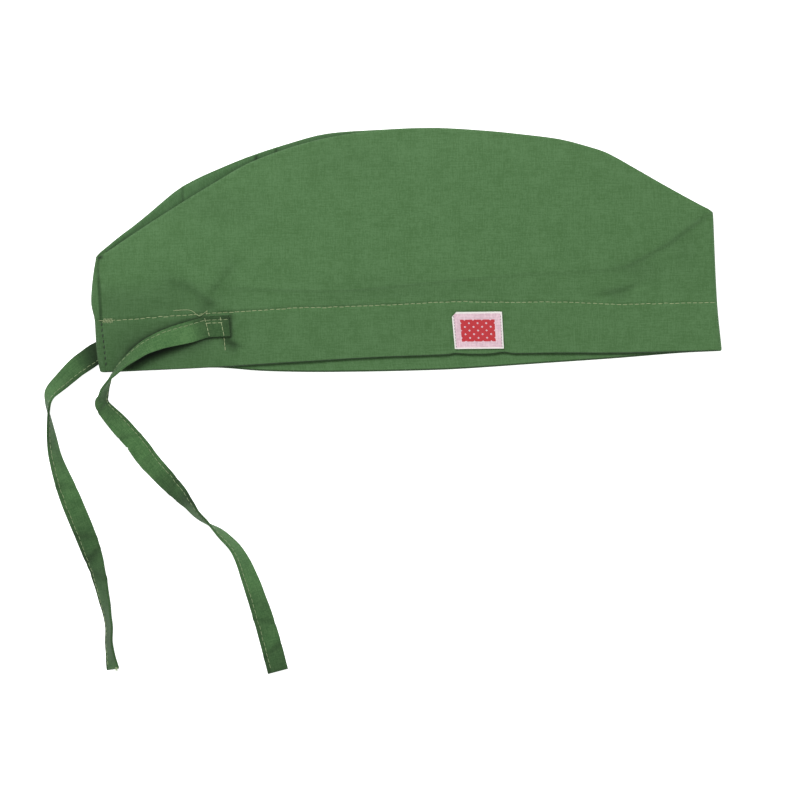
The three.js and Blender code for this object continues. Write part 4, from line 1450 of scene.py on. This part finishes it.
def label_piece():
    """The label, bent over the cap's hem."""
    bpy.ops.object.select_all(action="DESELECT")
    bpy.ops.mesh.primitive_grid_add(
        x_subdivisions=LABEL_GRID[0], y_subdivisions=LABEL_GRID[1], size=1, calc_uvs=False
    )
    piece = bpy.context.active_object
    piece.name = piece.data.name = "cap_label"
    mesh = piece.data
    for vertex in mesh.vertices:
        vertex.co.x *= LABEL_WIDTH
        vertex.co.y *= LABEL_HEIGHT
    # The corner at the top left is cut off
    cut = (LABEL_CUT - LABEL_WIDTH / 2, LABEL_HEIGHT / 2, 0)
    bpy.ops.object.mode_set(mode="EDIT")
    bpy.ops.mesh.select_all(action="SELECT")
    bpy.ops.mesh.bisect(plane_co=cut, plane_no=(-1, 1, 0), clear_outer=True)
    bpy.ops.object.mode_set(mode="OBJECT")
    layer = mesh.uv_layers.new(name="cloth")
    for loop in mesh.loops:
        layer.data[loop.index].uv = mesh.vertices[loop.vertex_index].co.xy
    for vertex in mesh.vertices:
        u, v = vertex.co.x, vertex.co.y
        x, y = label_place(u, v)
        from_side = abs(u) - LABEL_WIDTH / 2 + LABEL_TURNED[0]
        from_top = abs(v) - LABEL_HEIGHT / 2 + LABEL_TURNED[1]
        lift = LABEL_EDGE_RISE * min(max(from_side, from_top, 0) / MM, 1)
        lift += LABEL_WAVE * noise.noise(Vector((u, v, 0)) / LABEL_WAVE_SPAN)
        vertex.co = over_cap(x, y, LAYER_GAP + LABEL_CLOTH + lift)
    solid = piece.modifiers.new("wall", "SOLIDIFY")
    solid.thickness = LABEL_CLOTH
    solid.offset = -1
    bpy.ops.object.modifier_apply(modifier="wall")
    round_edge = piece.modifiers.new("edge", "BEVEL")
    round_edge.width = 0.18 * MM
    round_edge.segments = 2
    round_edge.angle_limit = math.radians(50)
    bpy.ops.object.modifier_apply(modifier="edge")
    bpy.ops.object.shade_smooth()
    mesh.materials.append(label_material())
    piece.select_set(False)
    return piece


cap_label = belongs(label_piece(), "label_weave", "label")

# Stitches up both sides of the label: how far from its middle they are, from where to where they go,
# half of a stitch, and how far they lie over the cap
LABEL_STITCHES = 11
LABEL_STITCH_U = 11.1 * MM
LABEL_STITCH_V = (-7.6 * MM, 6.6 * MM)
LABEL_STITCH_HALF = 0.45 * MM
LABEL_STITCH_LIFT = LAYER_GAP + 0.82 * MM
label_lines = []
for side in (-1, 1):
    for i in range(LABEL_STITCHES):
        v = lerp(*LABEL_STITCH_V, i / (LABEL_STITCHES - 1))
        ends = [
            over_cap(*label_place(side * LABEL_STITCH_U, at), LABEL_STITCH_LIFT)
            for at in (v - LABEL_STITCH_HALF, v + LABEL_STITCH_HALF)
        ]
        label_lines.append(stitch(*ends, SKYWARD, LABEL_THREAD))
label_thread = thread_piece("label_thread", label_lines, LABEL_THREAD, grey_thread)


# ---------------------------------------------------------------- the threads, fixed to the cap

for piece, slot in (
    (near_hem_thread, "green_cloth"), (far_hem_thread, "green_cloth"), (sewn_thread, "green_tie"),
    (seam_thread, "green_cloth"), (near_tie_thread, "green_tie"), (far_tie_thread, "green_tie"),
    (label_thread, "label_weave"),
):
    belongs(piece, slot)


# ---------------------------------------------------------------- the floor and the light

FLOOR_HALF = 3.0
FLOOR_Z = -0.2 * MM
corners = [(x * FLOOR_HALF, y * FLOOR_HALF, FLOOR_Z) for x, y in ((-1, -1), (1, -1), (1, 1), (-1, 1))]
floor_mesh = bpy.data.meshes.new("floor")
floor_mesh.from_pydata(corners, [], [(0, 1, 2, 3)])
floor = add_object("floor", floor_mesh)
white_floor, floor_shader = new_material("white_floor", roughness=0.9)
floor_shader.inputs["Base Color"].default_value = (0.9, 0.9, 0.9, 1)
floor_shader.inputs["Specular IOR Level"].default_value = 0.1
floor_shader.inputs["Emission Color"].default_value = (1, 1, 1, 1)
floor_shader.inputs["Emission Strength"].default_value = 0.8
floor_mesh.materials.append(white_floor)

world = bpy.data.worlds.new("studio")
world.use_nodes = True
world.node_tree.nodes["Background"].inputs["Color"].default_value = (1, 1, 1, 1)
world.node_tree.nodes["Background"].inputs["Strength"].default_value = 0.5
bpy.context.scene.world = world


def area_light(name, direction, distance, size, strength):
    """A square light at a distance from the origin, facing it."""
    data = bpy.data.lights.new(name, "AREA")
    data.shape = "SQUARE"
    data.size = size
    data.energy = strength
    light = add_object(name, data)
    light.location = Vector(direction).normalized() * distance
    light.rotation_euler = Vector(direction).to_track_quat("Z", "Y").to_euler()


area_light("key", direction=(-0.4, 0.8, 2.1), distance=2.4, size=0.65, strength=46)
area_light("fill", direction=(0.1, -1.0, 0.55), distance=2.2, size=1.2, strength=6)
bpy.context.scene.view_settings.view_transform = "Standard"
bpy.context.scene.view_settings.look = "None"
